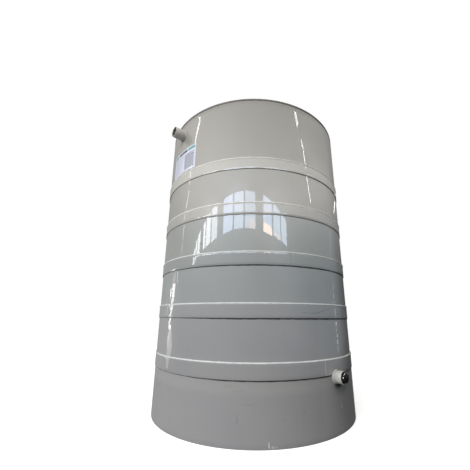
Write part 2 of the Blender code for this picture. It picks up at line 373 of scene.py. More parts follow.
def weld_bead_tree() -> GrowthTree:
    """Weld bead laid along a line of points, with the ripple that a hand welder leaves.

    Returns:
        The tree.
    """
    growth = GrowthTree("weld_bead", {"Radius": "Float", "Spacing": "Float", "Ripple": "Float",
                                      "Ripple Size": "Float", "Seed": "Float"}, takes_mesh=True)
    bench, given = growth.bench, growth.given
    path = bench.add("GeometryNodeMeshToCurve", {"Mesh": given["Geometry"]}).outputs[0]
    path = bench.add("GeometryNodeResampleCurve", {"Curve": path, "Length": given["Spacing"]},
                     mode="LENGTH").outputs[0]
    ring = bench.add("GeometryNodeCurvePrimitiveCircle", {"Resolution": 10, "Radius": given["Radius"]})
    bead = bench.add("GeometryNodeCurveToMesh", {"Curve": path, "Profile Curve": ring.outputs[0],
                                                 "Fill Caps": True}).outputs[0]
    place = bench.add("GeometryNodeInputPosition").outputs[0]
    place = bench.vector("DIVIDE", place, given["Ripple Size"]).outputs[0]
    swell = bench.noise(place, 1.0, 2.0, given["Seed"])
    swell = bench.math("MULTIPLY", bench.math("SUBTRACT", swell, 0.5), given["Ripple"])
    push = bench.vector("SCALE", bench.add("GeometryNodeInputNormal").outputs[0])
    bench.feed(push, {"Scale": swell})
    bead = bench.add("GeometryNodeSetPosition", {"Geometry": bead, "Offset": push.outputs[0]})
    growth.close(bead.outputs[0])
    return growth


def bolt_ring_tree() -> GrowthTree:
    """Ring of hexagon bolts on their washers, each turned its own way.

    Returns:
        The tree.
    """
    growth = GrowthTree("bolt_ring", {
        "Count": "Int", "Ring Radius": "Float", "Head Radius": "Float", "Head Height": "Float",
        "Washer Radius": "Float", "Washer Height": "Float", "Stud Radius": "Float",
        "Stud Height": "Float", "Seed": "Int"})
    bench, given = growth.bench, growth.given
    parts = []
    base: Value = 0.0
    for label, corners in (("Washer", 20), ("Head", 6), ("Stud", 12)):
        tall = given[label + " Height"]
        middle = bench.math("MULTIPLY_ADD", tall, 0.5, base)
        shift = bench.add("ShaderNodeCombineXYZ", {2: middle}).outputs[0]
        bar = bench.add("GeometryNodeMeshCylinder", {"Vertices": corners, "Depth": tall,
                                                     "Radius": given[label + " Radius"]}).outputs[0]
        parts.append(bench.add("GeometryNodeTransform", {"Geometry": bar,
                                                         "Translation": shift}).outputs[0])
        base = bench.math("ADD", base, bench.math("ADD", tall, SEAM_GAP / 3))
    bolt = bench.add("GeometryNodeJoinGeometry")
    for part in reversed(parts):
        bench.tree.links.new(part, bolt.inputs[0])
    ring = bench.add("GeometryNodeMeshCircle", {"Vertices": given["Count"],
                                                "Radius": given["Ring Radius"]})
    twist = bench.add("FunctionNodeRandomValue", {"Seed": given["Seed"], 0: (0, 0, 0),
                                                  1: (0, 0, math.tau)}, data_type="FLOAT_VECTOR")
    spin = bench.add("FunctionNodeEulerToRotation", {0: twist.outputs[0]})
    placed = bench.add("GeometryNodeInstanceOnPoints", {"Points": ring.outputs[0],
                                                        "Instance": bolt.outputs[0],
                                                        "Rotation": spin.outputs[0]})
    growth.close(placed.outputs[0])
    return growth


# Meshes

def add_object(name: str, mesh: bpy.types.Mesh) -> bpy.types.Object:
    """Put a mesh into the scene.

    Args:
        name: The new object's name.
        mesh: Its mesh.

    Returns:
        The new object.
    """
    item = bpy.data.objects.new(name, mesh)
    bpy.context.scene.collection.objects.link(item)
    return item


def baked_mesh(item: bpy.types.Object) -> bpy.types.Mesh:
    """Plain mesh of an object with its modifiers run.

    Args:
        item: The object.

    Returns:
        The new mesh.
    """
    evaluated = item.evaluated_get(bpy.context.evaluated_depsgraph_get())
    return bpy.data.meshes.new_from_object(evaluated)


def settle(item: bpy.types.Object, bevel: float = 0.0, segments: int = 2,
           sharp: float = 35.0) -> bpy.types.Object:
    """Round an object's hard edges, run its modifiers and shade it smooth between what stays sharp.

    Args:
        item: The object.
        bevel: Width of the rounding in metres, or 0 for none.
        segments: Steps across the rounding.
        sharp: Angle in degrees past which an edge stays sharp.

    Returns:
        The same object with a plain mesh.
    """
    if bevel:
        modifier = item.modifiers.new("edge", "BEVEL")
        modifier.width = bevel
        modifier.segments = segments
        modifier.limit_method = "ANGLE"
        modifier.angle_limit = math.radians(50)
        modifier.use_clamp_overlap = True
    item.data = baked_mesh(item)
    item.modifiers.clear()
    item.data.shade_smooth()
    item.data.set_sharp_from_angle(angle=math.radians(sharp))
    return item


def cut(item: bpy.types.Object, cutters: Sequence[bpy.types.Object]) -> None:
    """Cut holes in an object and remove what cut them.

    Args:
        item: The object to cut.
        cutters: The closed shapes to take away.
    """
    for cutter in cutters:
        modifier = item.modifiers.new(cutter.name, "BOOLEAN")
        modifier.operation = "DIFFERENCE"
        modifier.solver = "EXACT"
        modifier.object = cutter
    item.data = baked_mesh(item)
    item.modifiers.clear()
    for cutter in cutters:
        bpy.data.objects.remove(cutter, do_unlink=True)


def weld_ends(item: bpy.types.Object) -> None:
    """Join the two ends of a ring that was rolled all the way round.

    Args:
        item: The ring.
    """
    builder = bmesh.new()
    builder.from_mesh(item.data)
    bmesh.ops.remove_doubles(builder, verts=builder.verts, dist=0.00002)
    inner = [face for face in builder.faces if all(len(edge.link_faces) > 2 for edge in face.edges)]
    bmesh.ops.delete(builder, geom=inner, context="FACES_ONLY")
    builder.to_mesh(item.data)
    builder.free()


def turned(name: str, outline: Sequence[tuple[float, float]], steps: int = 96,
           ring: bool = True) -> bpy.types.Object:
    """Turn an outline of radius and height about the Z axis.

    Args:
        name: The new object's name.
        outline: Its points, run so that the solid is closed.
        steps: Sides round the axis.
        ring: Whether the outline closes on itself. If not, its ends lie on the axis.

    Returns:
        The new object.
    """
    builder = bmesh.new()
    angles = [math.tau * step / steps for step in range(steps)]
    rows = []
    for radius, height in outline:
        if radius == 0:
            rows.append([builder.verts.new((0, 0, height))] * steps)
        else:
            rows.append([builder.verts.new((radius * math.cos(angle), radius * math.sin(angle), height))
                         for angle in angles])
    pairs = list(zip(rows, rows[1:] + rows[:1])) if ring else list(zip(rows, rows[1:]))
    for low, high in pairs:
        for step in range(steps):
            after = (step + 1) % steps
            corners = dict.fromkeys((low[step], low[after], high[after], high[step]))
            builder.faces.new(tuple(corners))
    bmesh.ops.recalc_face_normals(builder, faces=builder.faces)
    mesh = bpy.data.meshes.new(name)
    builder.to_mesh(mesh)
    builder.free()
    return add_object(name, mesh)


def extruded(name: str, outline: Sequence[tuple[float, float]], low: float,
             high: float) -> bpy.types.Object:
    """Upright bar with a drawn outline.

    Args:
        name: The new object's name.
        outline: Its corners, anticlockwise from above.
        low: Height of its lower end.
        high: Height of its upper end.

    Returns:
        The new object.
    """
    count = len(outline)
    corners = [(x, y, z) for z in (low, high) for x, y in outline]
    faces = [tuple(range(count))[::-1], tuple(range(count, 2 * count))]
    for step in range(count):
        after = (step + 1) % count
        faces.append((step, after, after + count, step + count))
    mesh = bpy.data.meshes.new(name)
    mesh.from_pydata(corners, [], faces)
    return add_object(name, mesh)


def bore_cutter(name: str, radius: float, middle: float, steps: int) -> bpy.types.Object:
    """Round bar about the Z axis that cuts through a sheet.

    Args:
        name: The new object's name.
        radius: Its radius.
        middle: Height of the sheet.
        steps: Sides round the axis.

    Returns:
        The new object.
    """
    low, high = middle - CUT_DEPTH, middle + CUT_DEPTH
    return turned(name, [(0, low), (radius, low), (radius, high), (0, high)], steps, ring=False)


def path_mesh(name: str, points: Sequence[Vector], closed: bool = True) -> bpy.types.Mesh:
    """Line of edges for a weld bead to follow.

    Args:
        name: The mesh's name.
        points: Its points.
        closed: Whether the last point joins the first.

    Returns:
        The mesh.
    """
    count = len(points)
    edges = [(step, (step + 1) % count) for step in range(count if closed else count - 1)]
    mesh = bpy.data.meshes.new(name)
    mesh.from_pydata([tuple(point) for point in points], edges, [])
    return mesh


def at_bearing(radius: float, bearing: float, height: float) -> Vector:
    """Point at a distance from the tank's axis.

    Args:
        radius: Distance from the axis.
        bearing: Bearing in degrees.
        height: Height above the floor.

    Returns:
        The point.
    """
    turn = math.radians(bearing)
    return Vector((radius * math.cos(turn), radius * math.sin(turn), height))


def ring_points(centre: Vector, radius: float, lift: float, count: int = 72) -> list[Vector]:
    """Points of a level circle.

    Args:
        centre: Its middle.
        radius: Its radius.
        lift: Its height above the middle.
        count: How many points it has.

    Returns:
        The points.
    """
    return [centre + at_bearing(radius, 360 * step / count, lift) for step in range(count)]


def saddle(bearing: float, height: float, radius: float, count: int = 72) -> list[Vector]:
    """Points of a circle laid on the wall round a fitting, over a band where it meets one.

    Args:
        bearing: The fitting's bearing in degrees.
        height: The fitting's height.
        radius: The circle's radius.
        count: How many points it has.

    Returns:
        The points.
    """
    low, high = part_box("hoop_band_1")
    points = []
    for step in range(count):
        turn = math.tau * step / count
        rise = height + radius * math.sin(turn)
        side = radius * math.cos(turn)
        skin = high.x if low.z < rise < high.z else WALL_RADIUS
        points.append(at_bearing(skin + LAY_LIFT, bearing + math.degrees(math.asin(side / skin)), rise))
    return points


def outward(bearing: float, height: float) -> Matrix:
    """Placement that lays a piece's Z axis level, out from the tank's axis.

    Args:
        bearing: Bearing in degrees.
        height: Height above the floor.

    Returns:
        The placement.
    """
    spin = Matrix.Rotation(math.radians(bearing), 4, "Z") @ Matrix.Rotation(math.radians(90), 4, "Y")
    return Matrix.Translation((0, 0, height)) @ spin


def dress(item: bpy.types.Object, finish: bpy.types.Material,
          replaced: Sequence[str] = ()) -> bpy.types.Object:
    """Give a finished piece its material and its place on the tank's body.

    Args:
        item: The piece.
        finish: Its material.
        replaced: The solids that it stands for.

    Returns:
        The piece.
    """
    item.data.materials.clear()
    item.data.materials.append(finish)
    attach(item, BODY)
    if replaced:
        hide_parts(*replaced)
    LOG.info("%s: %d faces", item.name, len(item.data.polygons))
    return item


# Finishes

# PAINTED_SHADOW is the colour of the painted shade and shadow patches
PAINTED_SHADOW: Colour = (0.012, 0.013, 0.011)
SMUDGE: Colour = (0.12, 0.12, 0.125)
CHIP: Colour = (0.62, 0.61, 0.58)


def open_material(name: str) -> tuple[bpy.types.Material, Bench, bpy.types.Node, bpy.types.NodeSocket]:
    """Start a material.

    Args:
        name: Its name.

    Returns:
        The material, its bench, its shader and the socket of the place on the piece.
    """
    material = bpy.data.materials.new(name)
    material.use_nodes = True
    bench = Bench(material.node_tree)
    shader = material.node_tree.nodes["Principled BSDF"]
    return material, bench, shader, bench.add("ShaderNodeTexCoord").outputs["Object"]


@dataclass(frozen=True)
class Mark:
    """Soft-edged spot on the wall."""

    bearing: float
    height: float
    width: float
    rise: float
    strength: float

    def factor(self, bench: Bench, place: bpy.types.NodeSocket) -> bpy.types.NodeSocket:
        """How strongly the spot shows at a place.

        Args:
            bench: The material's bench.
            place: Position socket.

        Returns:
            Its strength, 0 outside the spot.
        """
        centre = at_bearing(WALL_RADIUS, self.bearing, self.height)
        scale = Vector((1 / self.width, 1 / self.width, 1 / self.rise))
        offset = tuple(-part * size for part, size in zip(centre, scale))
        away = bench.vector("MULTIPLY_ADD", place, tuple(scale), offset)
        length = bench.vector("LENGTH", away.outputs[0]).outputs["Value"]
        return bench.remap(length, 0.25, 1.0, self.strength, 0.0)


@dataclass(frozen=True)
class PlasticFinish:
    """Plastic sheet or moulding: a mottled colour, a soft sheen and a clear gloss over it."""

    name: str
    colour: Colour
    mottle: Colour
    mottle_size: float = 0.55
    roughness: tuple[float, float] = (0.34, 0.46)
    sheen: float = 0.5
    gloss: float = 1.0
    gloss_roughness: float = 0.012
    peel_depth: float = 0.0000025
    peel_size: float = 0.014
    scuff: float = 0.10
    run_size: float = 0.035
    fleck_size: float = 0.004
    dark_share: float = 0.7
    # Patches of painted shade and shadow
    shades: tuple[Mark, ...] = ()

    def paint(self, bench: Bench, place: bpy.types.NodeSocket) -> bpy.types.NodeSocket:
        """Colour of the sheet, with faint clouds and upright runs.

        Args:
            bench: The material's bench.
            place: Position socket.

        Returns:
            The colour's socket.
        """
        cloud = bench.remap(bench.noise(place, self.mottle_size, 4.0), 0.3, 0.7)
        colour = bench.blend(cloud, self.colour, self.mottle)
        runs = bench.remap(bench.noise(place, self.run_size, 3.0, 3.0, (1.0, 1.0, 0.06)), 0.55, 0.8, 0.0,
                           self.scuff)
        flecks = bench.remap(bench.noise(place, self.fleck_size, 2.0, 5.0), 0.35, 0.75, 0.0,
                             self.scuff / 2)
        dark = tuple(part * self.dark_share for part in self.colour)
        return bench.blend(flecks, bench.blend(runs, colour, dark), dark)

    def darken(self, bench: Bench, place: bpy.types.NodeSocket,
               colour: bpy.types.NodeSocket) -> bpy.types.NodeSocket:
        """Lay the painted shade and shadow patches over the finished colour.

        Args:
            bench: The material's bench.
            place: Position socket.
            colour: The colour's socket.

        Returns:
            The darkened colour's socket.
        """
        for shade in self.shades:
            colour = bench.blend(shade.factor(bench, place), colour, PAINTED_SHADOW)
        return colour

    def relief(self, bench: Bench, place: bpy.types.NodeSocket) -> bpy.types.NodeSocket:
        """Normal of the sheet's skin.

        Args:
            bench: The material's bench.
            place: Position socket.

        Returns:
            The normal's socket.
        """
        return bench.bump(bench.noise(place, self.peel_size, 2.0, 9.0), self.peel_depth)

    def material(self) -> bpy.types.Material:
        """Build the material.

        Returns:
            The new material.
        """
        material, bench, shader, place = open_material(self.name)
        normal = self.relief(bench, place)
        bench.feed(shader, {
            "Base Color": self.darken(bench, place, self.paint(bench, place)),
            "Roughness": bench.remap(bench.noise(place, 0.18, 3.0, 11.0), 0.3, 0.7, *self.roughness),
            "Normal": normal,
            "Coat Normal": normal,
            "Specular IOR Level": self.sheen,
            "Coat Weight": self.gloss,
            "Coat Roughness": self.gloss_roughness})
        return material


@dataclass(frozen=True)
class SkirtFinish(PlasticFinish):
    """Matt sheet of the skirt: a painted change of light where the cone is welded in, darker below and
    lighter above, and its knocks.
    """

    weld_line: float = 0.335
    weld_blur: float = 0.03
    above_line: Colour = (0.312, 0.313, 0.312)
    smudges: tuple[Mark, ...] = ()
    chips: tuple[Mark, ...] = ()

    def paint(self, bench: Bench, place: bpy.types.NodeSocket) -> bpy.types.NodeSocket:
        """Colour of the sheet with the painted change of light at the line, smudges and chips.

        Args:
            bench: The material's bench.
            place: Position socket.

        Returns:
            The colour's socket.
        """
        colour = super().paint(bench, place)
        # Painted light: lighter above the line where the cone is welded in, darker below it
        height = bench.add("ShaderNodeSeparateXYZ", {0: place}).outputs["Z"]
        sway = bench.remap(bench.noise(place, 0.25, 2.0, 21.0), 0.0, 1.0, -0.02, 0.02, smooth=False)
        above = bench.remap(bench.math("ADD", height, sway), self.weld_line - self.weld_blur,
                            self.weld_line + self.weld_blur)
        colour = bench.blend(above, colour, self.above_line)
        torn = bench.remap(bench.noise(place, 0.012, 3.0, 23.0), 0.35, 0.65)
        for marks, tint in ((self.smudges, SMUDGE), (self.chips, CHIP)):
            total: Value = 0.0
            for mark in marks:
                total = bench.math("MAXIMUM", total, mark.factor(bench, place))
            colour = bench.blend(bench.math("MULTIPLY", total, torn), colour, tint)
        return colour


@dataclass(frozen=True)
class SawnFinish(PlasticFinish):
    """Sawn edge of a plate, with the saw's fine upright marks."""

    tooth: float = 0.003
    tooth_depth: float = 0.0004

    def relief(self, bench: Bench, place: bpy.types.NodeSocket) -> bpy.types.NodeSocket:
        """Normal of the sawn face.

        Args:
            bench: The material's bench.
            place: Position socket.

        Returns:
            The normal's socket.
        """
        return bench.bump(bench.noise(place, self.tooth, 2.0, 9.0, (1.0, 1.0, 0.1)), self.tooth_depth)


@dataclass(frozen=True)
class MetalFinish:
    """Stainless steel with fine scratches."""

    name: str
    colour: Colour
    scratch_depth: float = 0.00004

    def material(self) -> bpy.types.Material:
        """Build the material.

        Returns:
            The new material.
        """
        material, bench, shader, place = open_material(self.name)
        grime = bench.remap(bench.noise(place, 0.01, 3.0), 0.4, 0.75)
        scratch = bench.noise(place, 0.0008, 2.0, 4.0, (1.0, 0.2, 1.0))
        bench.feed(shader, {
            "Base Color": bench.blend(grime, self.colour, tuple(part * 0.6 for part in self.colour)),
            "Roughness": bench.remap(bench.noise(place, 0.006, 3.0, 2.0), 0.3, 0.7, 0.22, 0.45),
            "Normal": bench.bump(scratch, self.scratch_depth),
            "Metallic": 1.0})
        return material


SKIRT_SMUDGES = (
    Mark(-51.8, 0.389, 0.045, 0.012, 0.22),
    Mark(-47.6, 0.359, 0.070, 0.010, 0.18),
    Mark(-43.9, 0.273, 0.110, 0.014, 0.18),
    Mark(-48.2, 0.171, 0.018, 0.055, 0.22),
    Mark(-28.8, 0.218, 0.020, 0.020, 0.22),
    Mark(-28.9, 0.169, 0.020, 0.020, 0.22),
    Mark(-20.3, 0.206, 0.024, 0.018, 0.22),
    Mark(110.0, 0.150, 0.090, 0.012, 0.22),
    Mark(171.0, 0.290, 0.030, 0.050, 0.18),
    Mark(-125.0, 0.210, 0.060, 0.014, 0.18),
)
# Painted shadow under the outlet and the drain, and painted shade on the skirt, the lowest course and the
# lowest band to the right of the outlet
OUTLET_PAINTED_SHADE = (
    Mark(2.3, 0.350, 0.080, 0.044, 1.0),
    Mark(5.0, 0.330, 0.150, 0.085, 0.40),
    Mark(14.0, 0.200, 0.360, 0.330, 0.22),
    Mark(15.0, 0.480, 0.220, 0.240, 0.30),
    Mark(-176.0, 0.035, 0.090, 0.034, 0.50),
)
SKIRT_CHIPS = (
    Mark(-35.6, 0.026, 0.009, 0.030, 1.0),
    Mark(-34.0, 0.014, 0.016, 0.012, 1.0),
    Mark(-32.6, 0.016, 0.008, 0.012, 0.8),
    Mark(3.6, 0.187, 0.011, 0.026, 1.0),
    Mark(3.3, 0.200, 0.008, 0.014, 1.0),
    Mark(70.0, 0.012, 0.014, 0.012, 1.0),
    Mark(150.0, 0.016, 0.010, 0.020, 0.9),
)


# Each course and each strip is of its own batch of sheet
SHEET_COLOURS = {
    1: (0.289, 0.293, 0.304),
    2: (0.281, 0.298, 0.304),
    3: (0.283, 0.298, 0.288),
    4: (0.303, 0.295, 0.275),
    5: (0.297, 0.286, 0.264),
}
STRIP_COLOURS = {
    1: (0.288, 0.290, 0.297),
    2: (0.281, 0.289, 0.302),
    3: (0.262, 0.277, 0.278),
    4: (0.365, 0.357, 0.338),
    5: (0.440, 0.430, 0.397),
}


def warmer(colour: Colour) -> Colour:
    """Slightly lighter, warmer tone of a colour, for the clouds in a sheet.

    Args:
        colour: The sheet's colour.

    Returns:
        The clouds' colour.
    """
    return (colour[0] * 1.07, colour[1] * 1.065, colour[2] * 1.05)


WELDED = {"mottle_size": 0.05, "roughness": (0.30, 0.50), "gloss": 0.4, "gloss_roughness": 0.15,
          "peel_depth": 0.00006, "peel_size": 0.004}
GRIMY = {"mottle_size": 0.02, "roughness": (0.75, 0.95), "sheen": 0.3, "gloss": 0.0,
         "gloss_roughness": 0.3, "peel_depth": 0.0003, "peel_size": 0.003}
INKED = {"mottle_size": 0.01, "roughness": (0.35, 0.45), "gloss": 0.5, "gloss_roughness": 0.10,
         "scuff": 0.0}


def plastic(name: str, colour: Colour, mottle: Colour, **look: object) -> bpy.types.Material:
    """Material of one plastic finish.

    Args:
        name: The material's name.
        colour: The plastic's colour.
        mottle: Colour of the faint clouds in it.
        **look: What differs from the wall's glossy sheet.

    Returns:
        The new material.
    """
    return PlasticFinish(name, colour, mottle, **look).material()


class Finishes:
    """Every material of the tank, each made once."""

    def __init__(self) -> None:
        """Make the materials."""
        # The lowest course and band carry the painted shade beside the outlet
        self.sheets = {number: plastic(f"course_{number}_sheet", colour, warmer(colour),
                                       shades=OUTLET_PAINTED_SHADE if number == 1 else ())
                       for number, colour in SHEET_COLOURS.items()}
        self.strips = {number: plastic(f"band_{number}_strip", colour, warmer(colour), gloss=0.9,
                                       shades=OUTLET_PAINTED_SHADE if number == 1 else ())
                       for number, colour in STRIP_COLOURS.items()}
        self.wall = plastic("pipe_and_neck_sheet", (0.330, 0.322, 0.300), (0.360, 0.350, 0.325),
                            mottle_size=0.08, gloss=0.6, gloss_roughness=0.05)
        self.stub = plastic("stub_pipe", (0.670, 0.645, 0.590), (0.720, 0.695, 0.635), mottle_size=0.05,
                            roughness=(0.45, 0.60), gloss=0.12, gloss_roughness=0.25, scuff=0.03)
        # The bore's darker finish is painted shade inside the pipe
        self.bore = plastic("pipe_bore_painted_shade", (0.290, 0.280, 0.260), (0.350, 0.335, 0.310),
                            mottle_size=0.04, roughness=(0.60, 0.75), sheen=0.2, gloss=0.0,
                            gloss_roughness=0.3)
        # The skirt carries the painted shadow under the outlet and the drain, and the painted shade beside
        # the outlet
        self.skirt = SkirtFinish("skirt_matt", (0.283, 0.284, 0.294), (0.301, 0.302, 0.306),
                                 roughness=(0.45, 0.60), sheen=0.2, gloss=0.0, peel_depth=0.00003,
                                 scuff=0.16, shades=OUTLET_PAINTED_SHADE, smudges=SKIRT_SMUDGES,
                                 chips=SKIRT_CHIPS).material()
        self.bead = plastic("weld_bead_pale", (0.690, 0.705, 0.700), (0.590, 0.605, 0.600), **WELDED)
        self.cream_bead = plastic("weld_bead_cream", (0.800, 0.787, 0.742), (0.745, 0.731, 0.688),
                                  **WELDED)
        self.joint_weld = plastic("joint_weld_grey", (0.470, 0.470, 0.460), (0.420, 0.420, 0.410),
                                  **WELDED)
        self.joints = {1: self.joint_weld, 2: self.joint_weld, 3: self.strips[3],
                       4: self.cream_bead, 5: self.cream_bead}
        # The two crevice finishes are partly grime and partly painted shadow; the darker one also draws
        # the scratch
        self.grime = plastic("dark_grime_and_shadow", (0.030, 0.031, 0.032), (0.052, 0.052, 0.052), **GRIMY)
        self.dust_and_shadow = plastic("dusty_grime_and_shadow", (0.320, 0.310, 0.290), (0.365, 0.354, 0.330), **GRIMY)
        # The sawn rim of the roof plate is painted dark as shade
        self.shaded_sawn_edge = SawnFinish("roof_plate_sawn", (0.165, 0.161, 0.155), (0.210, 0.204, 0.194),
                               mottle_size=0.05, roughness=(0.50, 0.65), sheen=0.4, gloss=0.0).material()
        self.roof = plastic("roof_plate_dusty", (0.285, 0.282, 0.272), (0.330, 0.325, 0.310),
                            mottle_size=0.25, roughness=(0.40, 0.62), gloss=0.2, gloss_roughness=0.2,
                            peel_depth=0.00004, peel_size=0.010, scuff=0.2)
        self.fitting = plastic("fitting_pale", (0.420, 0.430, 0.400), (0.465, 0.475, 0.448),
                               mottle_size=0.03, roughness=(0.30, 0.42), gloss=0.5, gloss_roughness=0.12,
                               peel_depth=0.00002, peel_size=0.004)
        self.plug = plastic("plug_black_gloss", (0.010, 0.009, 0.010), (0.016, 0.014, 0.016),
                            mottle_size=0.02, roughness=(0.15, 0.25), sheen=0.0, gloss=0.25,
                            gloss_roughness=0.03, peel_depth=0.00001, peel_size=0.006, scuff=0.0)
        self.rubber = plastic("gasket_rubber", (0.022, 0.022, 0.022), (0.035, 0.035, 0.034),
                              mottle_size=0.03, roughness=(0.65, 0.85), sheen=0.4, gloss=0.0,
                              gloss_roughness=0.3, peel_depth=0.0001, peel_size=0.002)
        self.inner = plastic("inner_sheet", (0.290, 0.290, 0.284), (0.320, 0.318, 0.308),
                             mottle_size=0.3, roughness=(0.35, 0.50), gloss=0.3, gloss_roughness=0.15,
                             peel_depth=0.00002, peel_size=0.012)
        self.paper = plastic("sticker_paper", (0.620, 0.655, 0.790), (0.665, 0.695, 0.820),
                             mottle_size=0.08, roughness=(0.35, 0.45), gloss=0.5, gloss_roughness=0.10,
                             peel_depth=0.00001, peel_size=0.010, scuff=0.03)
        self.teal = plastic("ink_teal", (0.080, 0.300, 0.280), (0.110, 0.350, 0.330), **INKED)
        self.ink = plastic("ink_dark", (0.060, 0.060, 0.085), (0.090, 0.085, 0.115), **INKED)
        self.faded = plastic("ink_grey", (0.380, 0.380, 0.460), (0.440, 0.440, 0.520), **INKED)
        self.steel = MetalFinish("bolt_steel", (0.55, 0.54, 0.52)).material()


class Trees:
    """The geometry trees, each made once."""

    def __init__(self) -> None:
        """Make the trees."""
        self.sheet = bent_sheet_tree()
        self.bead = weld_bead_tree()
        self.bolts = bolt_ring_tree()


@dataclass(frozen=True)
class Rod:
    """Bead of a welding rod: its radius, and how far apart, deep and wide its ripples are."""

    radius: float
    spacing: float
    ripple: float
    ripple_size: float

    def run(self, trees: Trees, name: str, finish: bpy.types.Material, seed: float,
            line: bpy.types.Mesh) -> bpy.types.Object:
        """Run the rod along a line.

        Args:
            trees: The geometry trees.
            name: The new object's name.
            finish: Its material.
            seed: Picks its ripples.
            line: The line that it follows.

        Returns:
            The new object.
        """
        return trees.bead.grow(name, finish, {
            "Radius": self.radius, "Spacing": self.spacing, "Ripple": self.ripple,
            "Ripple Size": self.ripple_size, "Seed": seed}, line)

    def lay(self, trees: Trees, name: str, finish: bpy.types.Material, seed: float,
            line: bpy.types.Mesh, sharp: float = 180.0, slot: Slot = Slot.WALL) -> None:
        """Lay a finished bead of the rod along a line.

        Args:
            trees: The geometry trees.
            name: The bead's name.
            finish: Its material.
            seed: Picks its ripples.
            line: The line that it follows.
            sharp: Angle in degrees past which an edge stays sharp.
            slot: Not used.
        """
        item = self.run(trees, name, finish, seed, line)
        settle(item, sharp=sharp)
        dress(item, finish)


def put(item: bpy.types.Object, place: Matrix, bevel: float, finish: bpy.types.Material,
        replaced: Sequence[str] = ()) -> None:
    """Put a piece that was made at the origin in its place, and finish it.

    Args:
        item: The piece.
        place: Its placement, which goes into its mesh.
        bevel: Width of the rounding of its edges in metres, or 0 for none.
        finish: Its material.
        replaced: The solids that it stands for.
    """
    item.data.transform(place)
    settle(item, bevel)
    dress(item, finish, replaced)


# Sub-assemblies

@dataclass
class WallCourses:
    """The skirt and the five courses of wall sheet, each in two halves with upright welds between."""

    trees: Trees
    finishes: Finishes
    step_up: float = 0.035
    steps_round: int = 160
    rim_curl: float = 0.004
    rim_height: float = 0.050
    edge_round: float = 0.001
    seam: Rod = Rod(0.0045, 0.012, 0.0012, 0.02)
    seam_sink: float = 0.0020
    floor_clear: float = 0.006
    strip_clear: tuple[float, float] = (0.002, 0.004)
    roof_clear: float = 0.008

    def build(self) -> None:
        """Make every course and the two rows of upright welds."""
        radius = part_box("roof_plate")[1].x
        for side in Side:
            label = side.name.lower()
            for number in range(SKIRT_COURSE, TOP_COURSE + 1):
                node = f"shell_course_{number}_{label}" if number else f"skirt_course_{label}"
                self.course(node, number, side, radius)
            self.seams(side)

    def course(self, node: str, number: int, side: Side, radius: float) -> None:
        """Make one half course in place of its solid.

        Args:
            node: The solid's name.
            number: Course number, 0 for the skirt and 5 for the top one.
            side: Which half.
            radius: Outer radius of the wall.
        """
        low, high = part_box(node)
        half_gap = SEAM_GAP / 2 / radius
        finish = self.finishes.sheets[number] if number else self.finishes.skirt
        item = self.trees.sheet.grow(node + "_sheet", finish, {
            "Inner Radius": radius - WALL_THICKNESS, "Outer Radius": radius,
            "Bottom": low.z, "Top": high.z,
            "Start": math.radians(side.value) + half_gap, "Sweep": math.pi - 2 * half_gap,
            "Wave Depth": WAVE_DEPTH, "Wave Size": WAVE_SIZE, "Wobble Size": 1.0,
            "Rim Curl": self.rim_curl if number == TOP_COURSE else 0.0, "Rim Height": self.rim_height,
            "Seed": WAVE_SEED, "Steps Round": self.steps_round,
            "Steps Up": round((high.z - low.z) / self.step_up) * (2 if number == TOP_COURSE else 1)})
        holes = [hole.cutter() for hole in WALL_HOLES if hole.side is side and hole.course == number]
        if holes:
            cut(item, holes)
        settle(item, self.edge_round if number in (SKIRT_COURSE, TOP_COURSE) else 0.0, sharp=25)
        dress(item, finish, [node])

    def seams(self, side: Side) -> None:
        """Lay the upright weld over the joint where a half starts, between the hoop bands.

        Args:
            side: The half.
        """
        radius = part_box("roof_plate")[1].x - self.seam_sink
        bands = [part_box(f"hoop_band_{number}") for number in BANDS]
        under, over = self.strip_clear
        lows = [self.floor_clear] + [band[1].z + over for band in bands]
        highs = [band[0].z - under for band in bands] + [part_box("roof_plate")[0].z - self.roof_clear]
        for number, (low, high) in enumerate(zip(lows, highs)):
            points = [at_bearing(radius, side.value, height) for height in (low, high)]
            finish = self.finishes.sheets[number] if number else self.finishes.skirt
            self.seam.lay(self.trees, f"upright_weld_{side.name.lower()}_{number}", finish, float(number),
                          path_mesh("seam_line", points, closed=False), sharp=35,
                          slot=Slot.WALL if number else Slot.SKIRT)


@dataclass(frozen=True)
class WallHole:
    """Round hole through one half course."""

    side: Side
    course: int
    bearing: float
    height: float
    radius: float

    def cutter(self) -> bpy.types.Object:
        """Make the shape that cuts the hole.

        Returns:
            A closed bar across the wall.
        """
        bar = bore_cutter("hole_cutter", self.radius, WALL_RADIUS, 64)
        bar.data.transform(outward(self.bearing, self.height))
        return bar


STUB_HEIGHT = 2.752
OUTLET_HEIGHT = 0.412
DRAIN_HEIGHT = 0.085
STUB_HOLE = 0.0553
NECK_HOLE = 0.0423
COLLAR_HOLE = 0.0533
MANHOLE_HOLE = 0.268
WALL_HOLES = (
    WallHole(Side.FRONT, TOP_COURSE, -90.0, STUB_HEIGHT, STUB_HOLE),
    WallHole(Side.REAR, TOP_COURSE, 90.0, STUB_HEIGHT, STUB_HOLE),
    WallHole(Side.FRONT, SKIRT_COURSE, 0.0, OUTLET_HEIGHT, NECK_HOLE),
    WallHole(Side.REAR, SKIRT_COURSE, 180.0, DRAIN_HEIGHT, NECK_HOLE),
)


